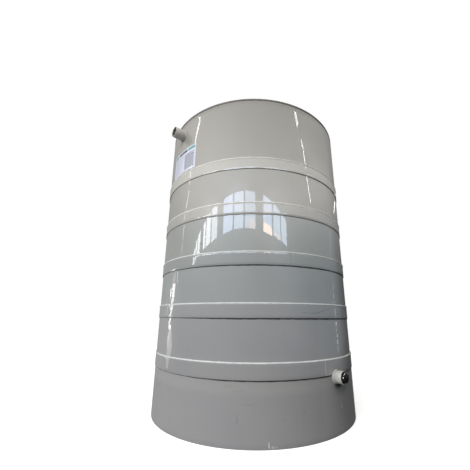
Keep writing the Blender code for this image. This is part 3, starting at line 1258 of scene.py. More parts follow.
@dataclass
class HoopBands:
    """The five hoop strips with their weld beads, butt joints and the dark line under them, partly grime
    and partly painted shadow.
    """

    trees: Trees
    finishes: Finishes
    cream_from: int = 4
    joints: tuple[float, ...] = (-7.2, 150.0, -23.1, 200.0, 75.0)
    joint_radii: tuple[float, ...] = (0.0080, 0.0070, 0.0060, 0.0070, 0.0070)
    joint_inset: tuple[float, float] = (0.004, 0.008)
    joint_rod: Rod = Rod(0.0070, 0.008, 0.0016, 0.02)
    strip_trim: float = 0.0040
    strip_steps: tuple[int, int] = (360, 5)
    strip_wave: tuple[float, float] = (0.0002, 0.35)
    edge_wobble: tuple[float, float] = (0.0012, 0.09)
    edge_lift: float = 0.0004
    edge_round: float = 0.0008
    edge: Rod = Rod(0.0075, 0.010, 0.0045, 0.035)
    bead_points: int = 240
    bead_lines: tuple[float, ...] = (1.0020, 1.0020, 1.0020, 1.0010, 1.0010)
    bead_drops: tuple[float, ...] = (0.0050, 0.0080, 0.0090, 0.0090, 0.0090)
    shadow_grime_heights: tuple[float, ...] = (0.0085, 0.0088, 0.0068, 0.0006, 0.0006)
    shadow_grime_reach: float = 0.0035
    shadow_grime_wobble: tuple[float, float] = (0.35, 0.06)
    shadow_grime_thin_side: tuple[float, float] = (-106.0, 0.6)
    shadow_grime_steps: int = 540
    shadow_grime_overlap: float = 0.0015
    scratch_rod: Rod = Rod(0.0009, 0.006, 0.0012, 0.01)
    scratch_route: tuple[tuple[float, float], ...] = (
        (-18.35, 0.905), (-12.91, 0.901), (-9.10, 0.907), (-5.19, 0.929), (-1.36, 0.947))

    def build(self) -> None:
        """Make all that belongs to each band, from the lowest up."""
        for number in BANDS:
            low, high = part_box(f"hoop_band_{number}")
            self.strip(number, low, high)
            self.bead(number, high)
            self.joint(number, low, high)
            self.grime(number, low)
        self.scratch()

    def strip(self, number: int, low: Vector, high: Vector) -> None:
        """Make one hoop strip in place of its solid.

        Args:
            number: Band number, 1 for the lowest.
            low: Lowest corner of the solid.
            high: Highest corner of the solid.
        """
        item = self.trees.sheet.grow(f"hoop_strip_{number}", self.finishes.strips[number], {
            "Inner Radius": WALL_RADIUS + SEAM_GAP, "Outer Radius": high.x,
            "Bottom": low.z, "Top": high.z - self.strip_trim,
            "Start": math.radians(self.joints[number - 1]) + SEAM_GAP / 2,
            "Sweep": math.tau - SEAM_GAP,
            "Wave Depth": self.strip_wave[0], "Wave Size": self.strip_wave[1],
            "Edge Wobble": self.edge_wobble[0], "Wobble Size": self.edge_wobble[1],
            "Edge Lift": self.edge_lift, "Rim Height": 1.0, "Seed": 30.0 + number,
            "Steps Round": self.strip_steps[0], "Steps Up": self.strip_steps[1]})
        if number == 1:
            notch = WallHole(Side.FRONT, SKIRT_COURSE, 0.0, OUTLET_HEIGHT, COLLAR_HOLE)
            cut(item, [notch.cutter()])
        settle(item, self.edge_round, sharp=25)
        dress(item, self.finishes.strips[number], [f"hoop_band_{number}"])

    def bead(self, number: int, high: Vector) -> None:
        """Lay the weld bead along a strip's upper edge, of the creamier rod on the upper bands.

        Args:
            number: Band number.
            high: Highest corner of the solid.
        """
        centre = high.z - self.bead_drops[number - 1]
        reach = self.bead_lines[number - 1]
        points = ring_points(Vector(), reach, centre, self.bead_points)
        finish = self.finishes.cream_bead if number >= self.cream_from else self.finishes.bead
        self.edge.lay(self.trees, f"band_bead_{number}", finish, 50.0 + number,
                      path_mesh("bead_line", points))

    def joint(self, number: int, low: Vector, high: Vector) -> None:
        """Lay the flat weld over a strip's butt joint.

        Args:
            number: Band number.
            low: Lowest corner of the solid.
            high: Highest corner of the solid.
        """
        rod = replace(self.joint_rod, radius=self.joint_radii[number - 1])
        points = [at_bearing(high.x + LAY_LIFT - rod.radius, self.joints[number - 1], height)
                  for height in (low.z + self.joint_inset[0], high.z - self.joint_inset[1])]
        rod.lay(self.trees, f"band_joint_{number}", self.finishes.joints[number], 70.0 + number,
                path_mesh("joint_line", points, closed=False), sharp=35)

    def grime(self, number: int, low: Vector) -> None:
        """Pack the open crevice under a strip's lower edge with a dark strip that is partly grime and
        partly painted shadow.

        Args:
            number: Band number.
            low: Lowest corner of the solid.
        """
        tall = self.shadow_grime_heights[number - 1]
        # Partly grime, partly painted shadow, thinner round the bearing where the light falls
        finish = self.finishes.dust_and_shadow if number >= self.cream_from else self.finishes.grime
        item = self.trees.sheet.grow(f"crevice_grime_{number}", finish, {
            "Inner Radius": WALL_RADIUS + SEAM_GAP, "Outer Radius": WALL_RADIUS + self.shadow_grime_reach,
            "Bottom": low.z - SEAM_GAP - tall, "Top": low.z + self.shadow_grime_overlap,
            "Start": 0.0, "Sweep": math.tau, "Wave Depth": 0.0, "Wave Size": 1.0,
            "Edge Wobble": tall * self.shadow_grime_wobble[0], "Wobble Size": self.shadow_grime_wobble[1],
            "Thin Bearing": math.radians(self.shadow_grime_thin_side[0]), "Thin Share": self.shadow_grime_thin_side[1],
            "Rim Height": 1.0, "Seed": 90.0 + number, "Steps Round": self.shadow_grime_steps, "Steps Up": 1})
        weld_ends(item)
        settle(item, sharp=50)
        dress(item, finish)

    def scratch(self) -> None:
        """Draw the long scratch on the second band."""
        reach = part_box("hoop_band_2")[1].x
        points = [at_bearing(reach, bearing, height) for bearing, height in self.scratch_route]
        self.scratch_rod.lay(self.trees, "band_scratch", self.finishes.grime, 3.0,
                             path_mesh("scratch_line", points, closed=False), sharp=35)


def roof_spot(node: str) -> Vector:
    """Middle of a solid on the roof, at the height of the roof's upper face.

    Args:
        node: The solid's name.

    Returns:
        The point.
    """
    low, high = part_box(node)
    middle = (low + high) / 2
    return Vector((middle.x, middle.y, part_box("roof_plate")[1].z))


@dataclass
class RoofDeck:
    """The flat roof plate, with a sawn edge painted dark as shade and holes for the manhole and the vent.
    """

    finishes: Finishes
    steps: int = 288
    edge_round: float = 0.0010
    rim: float = 0.95

    def build(self) -> None:
        """Make the plate in place of its solid."""
        low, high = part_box("roof_plate")
        deck = turned("roof_deck", [(0, low.z), (high.x, low.z), (high.x, high.z), (0, high.z)],
                      self.steps, ring=False)
        holes = []
        for node, radius in (("manhole_neck", MANHOLE_HOLE), ("vent_pipe", STUB_HOLE)):
            bar = bore_cutter("roof_hole", radius, 0.0, 72)
            bar.data.transform(Matrix.Translation(roof_spot(node)))
            holes.append(bar)
        cut(deck, holes)
        settle(deck, self.edge_round)
        dress(deck, self.finishes.roof, ["roof_plate"])
        # The sawn edge's darker finish is painted shade along the rim
        deck.data.materials.append(self.finishes.shaded_sawn_edge)
        for face in deck.data.polygons:
            if abs(face.normal.z) < 0.5 and Vector(face.center[:2]).length > self.rim:
                face.material_index = 1


@dataclass
class Manhole:
    """Flanged neck with its gasket, bolted cover and bent handle."""

    trees: Trees
    finishes: Finishes
    neck_radius: float = 0.280
    flange: float = 0.015
    neck_round: float = 0.0015
    cover_round: float = 0.0025
    gasket: float = 0.003
    gasket_inset: float = 0.0015
    gasket_round: float = 0.0004
    weld: Rod = Rod(0.0055, 0.008, 0.0022, 0.015)
    weld_lift: float = 0.0030
    bolts: int = 16
    bolt_ring: float = 0.305
    washer: tuple[float, float] = (0.0120, 0.0020)
    bolt_head: tuple[float, float] = (0.0100, 0.0075)
    stud: tuple[float, float] = (0.0050, 0.0030)
    bolt_round: float = 0.0006
    bar: Rod = Rod(0.007, 0.004, 0.0, 1.0)
    bar_round: float = 0.0006
    handle_half: float = 0.073
    handle_bend: float = 0.022
    bend_steps: int = 8
    foot_lift: float = 0.0005
    foot_radii: tuple[float, float, float] = (0.0072, 0.0090, 0.0150)
    foot_heights: tuple[float, float] = (0.0030, 0.0050)
    foot_round: float = 0.0004
    facing: float = 45.0

    def build(self) -> None:
        """Make every piece of the manhole."""
        spot = roof_spot("manhole_neck")
        self.neck(spot)
        self.lid(spot)
        self.fasteners(spot)
        self.handle(spot)

    def neck(self, spot: Vector) -> None:
        """Make the neck with its flange, and the welds at its two corners.

        Args:
            spot: Its middle on the roof.
        """
        low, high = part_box("manhole_neck")
        outer = (high.x - low.x) / 2
        bore = self.neck_radius - WALL_THICKNESS
        top = high.z - spot.z - self.gasket
        under = high.z - spot.z - self.flange
        start = low.z - spot.z
        neck = turned("manhole_ring", [(bore, start), (self.neck_radius, start), (self.neck_radius, under),
                                       (outer, under), (outer, top), (bore, top)], 144)
        put(neck, Matrix.Translation(spot), self.neck_round, self.finishes.wall,
            ["manhole_neck"])
        for name, height in (("root", self.weld_lift), ("flange", under - self.weld_lift)):
            points = ring_points(spot, self.neck_radius + LAY_LIFT, height, 120)
            self.weld.lay(self.trees, f"manhole_{name}_weld", self.finishes.bead, 4.0,
                          path_mesh("manhole_line", points))

    def lid(self, spot: Vector) -> None:
        """Make the gasket and the flat cover.

        Args:
            spot: The manhole's middle on the roof.
        """
        low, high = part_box("manhole_cover")
        outer = (high.x - low.x) / 2
        cover = turned("manhole_lid", [(0, low.z), (outer, low.z), (outer, high.z), (0, high.z)], 144,
                       ring=False)
        seal_top = low.z - SEAM_GAP
        seal_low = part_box("manhole_neck")[1].z - self.gasket + SEAM_GAP
        inner = self.neck_radius - WALL_THICKNESS
        edge = outer - self.gasket_inset
        seal = turned("manhole_gasket", [
            (inner, seal_low), (edge, seal_low), (edge, seal_top), (inner, seal_top)], 144)
        place = Matrix.Translation((spot.x, spot.y, 0))
        put(cover, place, self.cover_round, self.finishes.roof, ["manhole_cover"])
        put(seal, place, self.gasket_round, self.finishes.rubber)

    def fasteners(self, spot: Vector) -> None:
        """Set the ring of bolts on the cover.

        Args:
            spot: The manhole's middle on the roof.
        """
        sizes = {"Count": self.bolts, "Ring Radius": self.bolt_ring, "Seed": 12}
        for label, (radius, height) in (("Washer", self.washer), ("Head", self.bolt_head),
                                        ("Stud", self.stud)):
            sizes[label + " Radius"] = radius
            sizes[label + " Height"] = height
        ring = self.trees.bolts.grow("manhole_bolts", self.finishes.steel, sizes)
        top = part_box("manhole_cover")[1].z + SEAM_GAP / 3
        ring.data.transform(Matrix.Translation((spot.x, spot.y, top)))
        settle(ring, self.bolt_round, segments=1)
        dress(ring, self.finishes.steel)

    def handle(self, spot: Vector) -> None:
        """Make the bent bar handle with its two foot plates.

        Args:
            spot: The manhole's middle on the roof.
        """
        low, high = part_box("cover_handle")
        foot = low.z + self.foot_lift
        top = high.z - self.bar.radius
        points = [Vector((-self.handle_half, 0, foot))]
        for side in (-1, 1):
            centre = Vector((side * (self.handle_half - self.handle_bend), 0, top - self.handle_bend))
            angles = [90 * step / self.bend_steps for step in range(self.bend_steps + 1)]
            for angle in (angles if side < 0 else angles[::-1]):
                turn = math.radians(angle)
                reach = self.handle_bend * math.cos(turn)
                points.append(centre + Vector((side * reach, 0, self.handle_bend * math.sin(turn))))
        points.append(Vector((self.handle_half, 0, foot)))
        bar = self.bar.run(self.trees, "handle_bar", self.finishes.plug, 0.0,
                           path_mesh("handle_line", points, closed=False))
        place = (Matrix.Translation((spot.x, spot.y, 0))
                 @ Matrix.Rotation(math.radians(self.facing), 4, "Z"))
        put(bar, place, self.bar_round, self.finishes.plug, ["cover_handle"])
        hole, crown, rim = self.foot_radii
        edge, top = (foot + height for height in self.foot_heights)
        for number, side in enumerate((-1, 1), 1):
            plate = turned(f"handle_foot_{number}", [
                (hole, foot), (rim, foot), (rim, edge), (crown, top), (hole, top)], 40)
            put(plate, place @ Matrix.Translation((side * self.handle_half, 0, 0)), self.foot_round,
                self.finishes.plug)


@dataclass
class RoofVent:
    """Vent pipe through the roof, under a rain cap on four legs."""

    trees: Trees
    finishes: Finishes
    wall: float = 0.006
    leg: tuple[float, float] = (0.010, 0.004)
    leg_ring: float = 0.052
    leg_sink: float = 0.0015
    leg_round: float = 0.0008
    cap_dish: float = 0.0050
    cap_plate: float = 0.0045
    edge_round: float = 0.0010
    weld: Rod = Rod(0.0045, 0.005, 0.0020, 0.012)
    weld_lift: float = 0.0025

    def build(self) -> None:
        """Make the pipe, its weld and its cap."""
        spot = roof_spot("vent_pipe")
        low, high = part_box("vent_pipe")
        outer = (high.x - low.x) / 2
        bore = outer - self.wall
        pipe = turned("vent_tube", [(bore, low.z), (outer, low.z), (outer, high.z), (bore, high.z)], 72)
        put(pipe, Matrix.Translation((spot.x, spot.y, 0)), self.edge_round, self.finishes.wall,
            ["vent_pipe"])
        self.weld.lay(self.trees, "vent_root_weld", self.finishes.bead, 6.0,
                      path_mesh("vent_line", ring_points(spot, outer + LAY_LIFT, self.weld_lift)))
        self.cap(spot)

    def cap(self, spot: Vector) -> None:
        """Make the dished rain cap and its legs.

        Args:
            spot: The vent's middle on the roof.
        """
        low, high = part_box("vent_cap")
        outer = (high.x - low.x) / 2
        edge = high.z - self.cap_dish
        under = edge - self.cap_plate
        steps = 6
        crown = [(outer * part / steps, high.z - self.cap_dish * (part / steps) ** 2)
                 for part in range(steps, -1, -1)]
        hollow = [(radius, height - self.cap_plate) for radius, height in reversed(crown)]
        place = Matrix.Translation((spot.x, spot.y, 0))
        put(turned("vent_rain_cap", [*hollow, *crown], 72, ring=False), place, self.edge_round,
            self.finishes.wall, ["vent_cap"])
        across, deep = self.leg[0] / 2, self.leg[1] / 2
        outline = [(-across, -deep), (across, -deep), (across, deep), (-across, deep)]
        for number in range(4):
            leg = extruded(f"vent_leg_{number + 1}", outline, low.z, under + self.leg_sink)
            turn = Matrix.Rotation(math.radians(90 * number), 4, "Z")
            put(leg, place @ turn @ Matrix.Translation((0, self.leg_ring, 0)), self.leg_round,
                self.finishes.wall)


@dataclass
class PipeStub:
    """Open pipe stub through the top course, with a saddle weld where it leaves the wall."""

    trees: Trees
    finishes: Finishes
    node: str
    bearing: float
    wall: float = 0.006
    chamfer: float = 0.0012
    edge_round: float = 0.0008
    shade_lining: float = 0.0008
    shade_lining_setback: tuple[float, float] = (0.0040, 0.0045)
    weld: Rod = Rod(0.0060, 0.006, 0.0030, 0.015)

    def build(self) -> None:
        """Make the stub in place of its solid, a dark lining of painted shade in its bore, and its weld.
        """
        low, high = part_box(self.node)
        outer = (high.z - low.z) / 2
        middle = (high.z + low.z) / 2
        far = max(abs(low.y), abs(high.y))
        near = min(abs(low.y), abs(high.y))
        bore = outer - self.wall
        place = outward(self.bearing, middle)
        stub = turned(self.node + "_tube", [
            (bore, near), (outer, near), (outer, far), (bore + self.chamfer, far),
            (bore, far - self.chamfer)], 96)
        put(stub, place, self.edge_round, self.finishes.stub, [self.node])
        # Dark lining: painted shade inside the bore
        inner, skin = bore - self.shade_lining, bore - SEAM_GAP
        shade_lining = turned(self.node + "_bore_shade_lining", [
            (inner, near), (skin, near), (skin, far - self.shade_lining_setback[0]),
            (inner, far - self.shade_lining_setback[1])], 96)
        put(shade_lining, place, 0.0, self.finishes.bore)
        self.weld.lay(self.trees, self.node + "_weld", self.finishes.joint_weld, 8.0,
                      path_mesh("stub_line", saddle(self.bearing, middle, outer + LAY_LIFT)))


@dataclass
class OutletFitting:
    """Weld-on collar, socket with a fine-ribbed nut, and a threaded plug with a hexagonal head."""

    trees: Trees
    finishes: Finishes
    prefix: str
    bearing: float
    height: float
    collar: tuple[float, float] = (0.0530, 1.0150)
    collar_back: float = 0.990
    collar_slope: tuple[float, float] = (0.006, 0.0018)
    skin_clear: float = 0.0004
    edge_round: float = 0.0008
    weld: Rod = Rod(0.0024, 0.004, 0.0010, 0.012)
    weld_reach: float = 0.0006
    neck: tuple[float, float] = (0.0360, 0.0420)
    neck_back: float = 0.960
    nut: tuple[float, float] = (0.0485, 1.0280)
    mouth: float = 1.0740
    seat: float = 1.0550
    plug_radius: float = 0.0437
    plug_round: float = 0.0006
    shank: float = 0.020
    head: tuple[float, float] = (0.0370, 1.0970)
    head_round: float = 0.0018
    ribs: int = 36
    rib_depth: float = 0.0005
    rib_band: float = 0.0008

    def build(self) -> None:
        """Make the fitting's pieces in place of their solids."""
        place = outward(self.bearing, self.height)
        self.make_collar(place)
        self.make_socket(place)
        self.make_plug(place)

    def make_collar(self, place: Matrix) -> None:
        """Make the collar and the weld round its foot.

        Args:
            place: Placement of the fitting.
        """
        radius, face = self.collar
        bore = self.neck[1] + SEAM_GAP
        slope, cheek = self.collar_slope
        collar = turned(self.prefix + "_collar_ring", [
            (bore, self.collar_back), (radius, self.collar_back), (radius, face - slope),
            (radius - cheek, face - cheek), (radius - slope, face), (bore, face)], 96)
        collar.data.transform(place)
        wall = bore_cutter("collar_wall_face", WALL_RADIUS + self.skin_clear, 0.0, 288)
        wall.data.transform(Matrix.Translation((0, 0, self.height)))
        cut(collar, [wall])
        settle(collar, self.edge_round)
        dress(collar, self.finishes.fitting, [self.prefix + "_collar"])
        line = path_mesh("collar_line", saddle(self.bearing, self.height, radius + self.weld_reach))
        self.weld.lay(self.trees, self.prefix + "_collar_weld", self.finishes.skirt, 5.0, line,
                      slot=Slot.SKIRT)

    def make_socket(self, place: Matrix) -> None:
        """Make the neck with its ribbed nut.

        Args:
            place: Placement of the fitting.
        """
        bore, neck = self.neck
        nut, start = self.nut
        edge = self.plug_radius + SEAM_GAP
        socket = turned(self.prefix + "_socket_nut", [
            (bore, self.neck_back), (neck, self.neck_back), (neck, start), (nut - 0.0015, start),
            (nut, start + 0.002), (nut, self.mouth - 0.003), (nut - 0.0012, self.mouth - 0.0008),
            (nut - 0.0025, self.mouth), (edge, self.mouth), (edge, self.seat), (bore, self.seat)],
            self.ribs * 8)
        for vertex in socket.data.vertices:
            flat = Vector(vertex.co[:2])
            if flat.length > nut - self.rib_band:
                turn = math.atan2(flat.y, flat.x) * self.ribs
                shrink = 1 - self.rib_depth * (0.5 - 0.5 * math.cos(turn)) / flat.length
                vertex.co.x *= shrink
                vertex.co.y *= shrink
        put(socket, place, 0.0, self.finishes.fitting, [self.prefix + "_socket"])

    def make_plug(self, place: Matrix) -> None:
        """Make the plug's threaded body and its hexagonal head.

        Args:
            place: Placement of the fitting.
        """
        radius = self.plug_radius
        shank = self.neck[0] - SEAM_GAP
        start = self.seat - self.shank
        plug = turned(self.prefix + "_plug_body", [
            (0, start), (shank - 0.002, start), (shank, start + 0.002), (shank, self.seat + SEAM_GAP),
            (radius, self.seat + SEAM_GAP), (radius, self.mouth - 0.0015), (radius - 0.0015, self.mouth),
            (0, self.mouth)], 96, ring=False)
        put(plug, place, self.plug_round, self.finishes.plug, [self.prefix + "_plug"])
        across, face = self.head
        corners = [(across * math.cos(math.radians(60 * step)), across * math.sin(math.radians(60 * step)))
                   for step in range(6)]
        head = extruded(self.prefix + "_plug_head", corners, self.mouth + SEAM_GAP / 3, face)
        put(head, place, self.head_round, self.finishes.plug)


@dataclass
class Sticker:
    """Plain sticker below the overflow: coloured head bars, a fine even chequer and grey rules."""

    trees: Trees
    finishes: Finishes
    left: float = -99.4
    right: float = -76.2
    bottom: float = 2.283
    top: float = 2.553
    paper: float = 0.0005
    ink: float = 0.0002
    heads: tuple[tuple[str, float, float], ...] = (
        ("teal", 0.03, 0.22), ("ink", 0.26, 0.66), ("teal", 0.70, 0.97))
    head_rows: tuple[float, float] = (0.84, 0.95)
    rules: tuple[Point, ...] = (
        (0.50, 0.70, 0.745), (0.44, 0.60, 0.635), (0.48, 0.50, 0.535), (0.38, 0.40, 0.435),
        (0.46, 0.30, 0.335), (0.34, 0.20, 0.235), (0.42, 0.10, 0.135))
    rule_start: float = 0.06
    chequer_box: Box = (0.56, 0.10, 0.94, 0.74)
    cells: int = 11
    cell_share: float = 0.97
    patch_step: tuple[float, float] = (1.1, 0.04)

    def build(self) -> None:
        """Make the paper and what is printed on it."""
        self.patch("sticker_paper_sheet", self.finishes.paper, (0, 0, 1, 1), 0)
        low, high = self.head_rows
        bars = [(getattr(self.finishes, ink), (left, low, right, high)) for ink, left, right in self.heads]
        bars += [(self.finishes.faded, (self.rule_start, low, end, high)) for end, low, high in self.rules]
        for number, (finish, box) in enumerate(bars, 1):
            self.patch(f"sticker_bar_{number}", finish, box, 1)
        self.chequer()

    def patch(self, name: str, finish: bpy.types.Material, box: Box, layer: int) -> bpy.types.Object:
        """Lay one thin patch on the wall.

        Args:
            name: The new object's name.
            finish: Its material.
            box: Its left, bottom, right and top as shares of the sticker.
            layer: 0 for the paper, 1 for ink on it.

        Returns:
            The patch.
        """
        wide = self.right - self.left
        tall = self.top - self.bottom
        base = WALL_RADIUS + SEAM_GAP + (self.paper + SEAM_GAP / 3 if layer else 0.0)
        thick = self.ink if layer else self.paper
        sweep = wide * (box[2] - box[0])
        item = self.trees.sheet.grow(name, finish, {
            "Inner Radius": base, "Outer Radius": base + thick,
            "Bottom": self.bottom + tall * box[1], "Top": self.bottom + tall * box[3],
            "Start": math.radians(self.left + wide * box[0]), "Sweep": math.radians(sweep),
            "Wave Depth": WAVE_DEPTH, "Wave Size": WAVE_SIZE, "Wave Follow": 1.0, "Wobble Size": 1.0,
            "Rim Height": 1.0, "Seed": WAVE_SEED,
            "Steps Round": max(2, round(sweep / self.patch_step[0])),
            "Steps Up": max(1, round(tall * (box[3] - box[1]) / self.patch_step[1]))})
        settle(item)
        return dress(item, finish)

    def chequer(self) -> None:
        """Print a plain even chequer on the right half, as one piece."""
        left, bottom, right, top = self.chequer_box
        wide, tall = (right - left) / self.cells, (top - bottom) / self.cells
        blocks = []
        for row in range(self.cells):
            for column in range(row % 2, self.cells, 2):
                box = (left + wide * column, bottom + tall * row,
                       left + wide * (column + self.cell_share), bottom + tall * (row + self.cell_share))
                name = f"sticker_block_{row + 1}_{column + 1}"
                blocks.append(self.patch(name, self.finishes.ink, box, 1))
        print_mesh = bmesh.new()
        for block in blocks:
            print_mesh.from_mesh(block.data)
            bpy.data.objects.remove(block)
        mesh = bpy.data.meshes.new("sticker_chequer")
        print_mesh.to_mesh(mesh)
        print_mesh.free()
        dress(add_object("sticker_chequer", mesh), self.finishes.ink)


@dataclass
class HiddenWorks:
    """The cone, sump, drain pipe, ribs and base, whose solids stay and take the sheet's finish."""

    finishes: Finishes

    def build(self) -> None:
        """Paint the solids that stay."""
        for name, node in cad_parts.items():
            if node.hide_render:
                continue
            node.data.materials.clear()
            node.data.materials.append(self.finishes.inner)
            LOG.info("%s: painted", name)


# Studio

@dataclass(frozen=True)
class Pane:
    """Pane of a window, on the upright plane that the wall mirrors."""

    left: float
    right: float
    sill: float
    head: float
    tint: Colour
    strength: float = 1.0


@dataclass(frozen=True)
class Glint:
    """Bright spot on one side of a plug's head; a turn of 90 is the upper side."""

    turn: float
    back: float
    along: float
    size: float
    radiance: float
    tint: Colour


GLINTS = (
    Glint(60.0, 0.0100, -0.0040, 0.050, 32.0, (1.0, 0.84, 0.80)),
    Glint(0.0, 0.0050, 0.0150, 0.017, 220.0, (1.0, 0.96, 0.96)),
    Glint(0.0, 0.0080, -0.0060, 0.014, 14.0, (0.85, 0.78, 1.0)),
)
PANES = (
    Pane(-9.97, -9.08, 3.18, 3.95, (0.96, 0.98, 1.0), 1.25),
    Pane(-8.84, -8.02, 3.18, 4.10, (0.96, 0.98, 1.0), 1.2),
    Pane(-7.80, -6.85, 3.18, 4.15, (0.96, 0.98, 1.0), 1.3),
    Pane(-5.85, -5.28, 3.12, 4.10, (0.96, 0.98, 1.0), 1.5),
    Pane(-5.08, -4.14, 3.06, 4.10, (0.92, 0.96, 1.0), 1.4),
    Pane(-3.94, -3.02, 3.02, 4.10, (0.84, 0.90, 0.98), 1.15),
    Pane(-2.22, -1.19, 2.98, 3.99, (0.76, 0.93, 1.25)),
    Pane(-1.04, -0.14, 2.98, 3.98, (0.66, 0.82, 1.05)),
    Pane(0.01, 0.98, 3.24, 3.98, (0.54, 0.68, 0.88)),
    Pane(0.01, 0.45, 2.98, 3.24, (0.66, 0.80, 1.0)),
    Pane(0.45, 0.98, 2.98, 3.24, (1.0, 0.84, 0.80)),
    Pane(1.79, 2.77, 3.60, 4.02, (0.72, 0.86, 1.12)),
    Pane(1.79, 2.77, 3.26, 3.60, (0.64, 0.82, 1.08)),
    Pane(1.79, 2.77, 3.00, 3.26, (1.9, 1.45, 1.15)),
    Pane(2.94, 3.98, 3.18, 4.02, (0.66, 0.84, 1.04)),
    Pane(2.94, 3.98, 3.05, 3.18, (0.98, 0.86, 0.84)),
    Pane(4.14, 5.20, 3.10, 4.00, (0.72, 0.84, 1.0)),
)


@dataclass(frozen=True)
class Streak:
    """Thin bright strip that the gloss mirrors as a line down the wall."""

    points: tuple[Point, ...]
    width: float
    strength: float


STREAKS = (
    Streak(((-1.67, -3.76, 5.87), (-1.47, -3.88, 5.83), (-1.49, -3.95, 5.77), (-1.56, -3.99, 5.70),
            (-1.69, -4.00, 5.64), (-1.84, -4.01, 5.57), (-1.96, -4.03, 5.49), (-2.09, -4.09, 5.36)),
           0.12, 0.60),
    Streak(((-2.63, -4.17, 4.93), (-2.67, -4.24, 4.80), (-2.76, -4.30, 4.64), (-2.88, -4.34, 4.49)),
           0.08, 0.8),
    Streak(((-2.92, -4.38, 4.33), (-3.04, -4.39, 4.20), (-3.19, -4.39, 4.05), (-3.29, -4.40, 3.90)),
           0.07, 0.5),
    Streak(((-3.36, -4.35, 3.90), (-3.43, -4.39, 3.72), (-3.53, -4.41, 3.53)), 0.07, 0.5),
    Streak(((-3.56, -4.42, 3.45), (-3.62, -4.42, 3.34), (-3.69, -4.48, 3.03)), 0.07, 0.35),
    Streak(((-3.73, -4.47, 2.95), (-3.77, -4.49, 2.78), (-3.80, -4.51, 2.63)), 0.07, 0.35),
    Streak(((-4.73, -3.64, 2.09), (-4.63, -3.81, 1.79)), 0.70, 0.07),
    Streak(((-4.27, -4.17, 2.13), (-4.16, -4.31, 1.81)), 0.09, 0.32),
    Streak(((-4.66, -3.77, 1.79), (-4.66, -3.78, 1.64)), 0.60, 0.46),
    Streak(((-5.05, -3.23, 1.65), (-5.00, -3.31, 1.42)), 0.25, 0.48),
    Streak(((-4.66, -3.78, 1.64), (-4.66, -3.78, 1.42)), 0.50, 0.50),
    Streak(((-4.72, -3.71, 1.42), (-4.69, -3.74, 1.25)), 0.55, 0.36),
    Streak(((-4.73, -3.68, 1.19), (-4.73, -3.67, 1.05), (-4.64, -3.75, 0.89)), 0.45, 0.40),
    Streak(((-5.26, -2.87, 1.20), (-5.22, -2.90, 0.89)), 0.20, 0.08),
    Streak(((-4.88, -3.43, 0.82), (-4.81, -3.49, 0.66)), 0.42, 0.34),
    Streak(((-4.76, -3.56, 0.65), (-4.74, -3.55, 0.54)), 0.50, 0.38),
    Streak(((-4.78, -3.49, 0.52), (-4.63, -3.61, 0.24)), 0.75, 0.17),
    Streak(((-4.62, -3.62, 0.22), (-4.44, -3.73, -0.05), (-4.27, -3.85, -0.22)), 0.90, 0.10),
    Streak(((4.04, 0.84, 5.86), (4.09, 0.80, 5.81), (4.13, 0.84, 5.77), (4.18, 0.93, 5.71),
            (4.21, 1.01, 5.65), (4.26, 1.08, 5.59)), 0.20, 0.58),
    Streak(((4.37, 1.50, 5.34), (4.41, 1.69, 5.20), (4.49, 1.82, 5.06), (4.60, 2.02, 4.77)), 0.07, 1.1),
    Streak(((4.66, 2.15, 4.60), (4.73, 2.32, 4.38), (4.79, 2.63, 3.98)), 0.06, 1.05),
    Streak(((-0.06, 5.32, 4.27), (0.97, 5.41, 3.91)), 0.10, 0.25),
    Streak(((2.64, 5.09, 3.28), (2.87, 5.10, 2.84), (3.06, 5.08, 2.43)), 0.06, 0.14),
    Streak(((3.04, 5.16, 1.80), (3.08, 5.14, 1.62)), 0.06, 0.16),
    Streak(((3.10, 5.13, 1.55), (3.14, 5.12, 1.40)), 0.06, 0.26),
    Streak(((3.15, 5.11, 1.34), (3.17, 5.09, 1.20)), 0.06, 0.2),
    Streak(((3.18, 5.07, 1.12), (3.20, 5.04, 0.94)), 0.06, 0.3),
    Streak(((3.01, 5.13, 0.75), (3.01, 5.11, 0.66)), 0.06, 0.55),
    Streak(((3.01, 5.10, 0.58), (3.02, 5.09, 0.52)), 0.06, 0.35),
    Streak(((3.02, 5.07, 0.44), (3.02, 5.05, 0.36)), 0.06, 0.4),
    Streak(((3.02, 5.03, 0.28), (3.02, 5.01, 0.20)), 0.06, 0.45),
    Streak(((3.03, 4.99, 0.12), (3.03, 4.97, 0.02)), 0.06, 0.38),
)


class SkyBearing:
    """Height and bearing of each direction of the sky."""

    def __init__(self, bench: Bench) -> None:
        """Read the direction.

        Args:
            bench: The sky's bench.
        """
        direction = bench.add("ShaderNodeTexCoord").outputs["Generated"]
        self.bench = bench
        self.parts = bench.add("ShaderNodeSeparateXYZ", {0: direction}).outputs
        square = bench.math("MULTIPLY", self.parts["Z"], self.parts["Z"])
        self.level = bench.math("SQRT", bench.math("SUBTRACT", 1.0001, square))
        self.height = bench.math("DEGREES", bench.math("ARCSINE", self.parts["Z"]))

    def toward(self, bearing: float) -> bpy.types.NodeSocket:
        """Cosine of how far each direction's bearing is from another one.

        Args:
            bearing: The other bearing in degrees.

        Returns:
            The cosine's socket.
        """
        turn = math.radians(bearing)
        along = self.bench.math("MULTIPLY", self.parts["X"], math.cos(turn))
        along = self.bench.math("MULTIPLY_ADD", self.parts["Y"], math.sin(turn), along)
        return self.bench.math("DIVIDE", along, self.level)


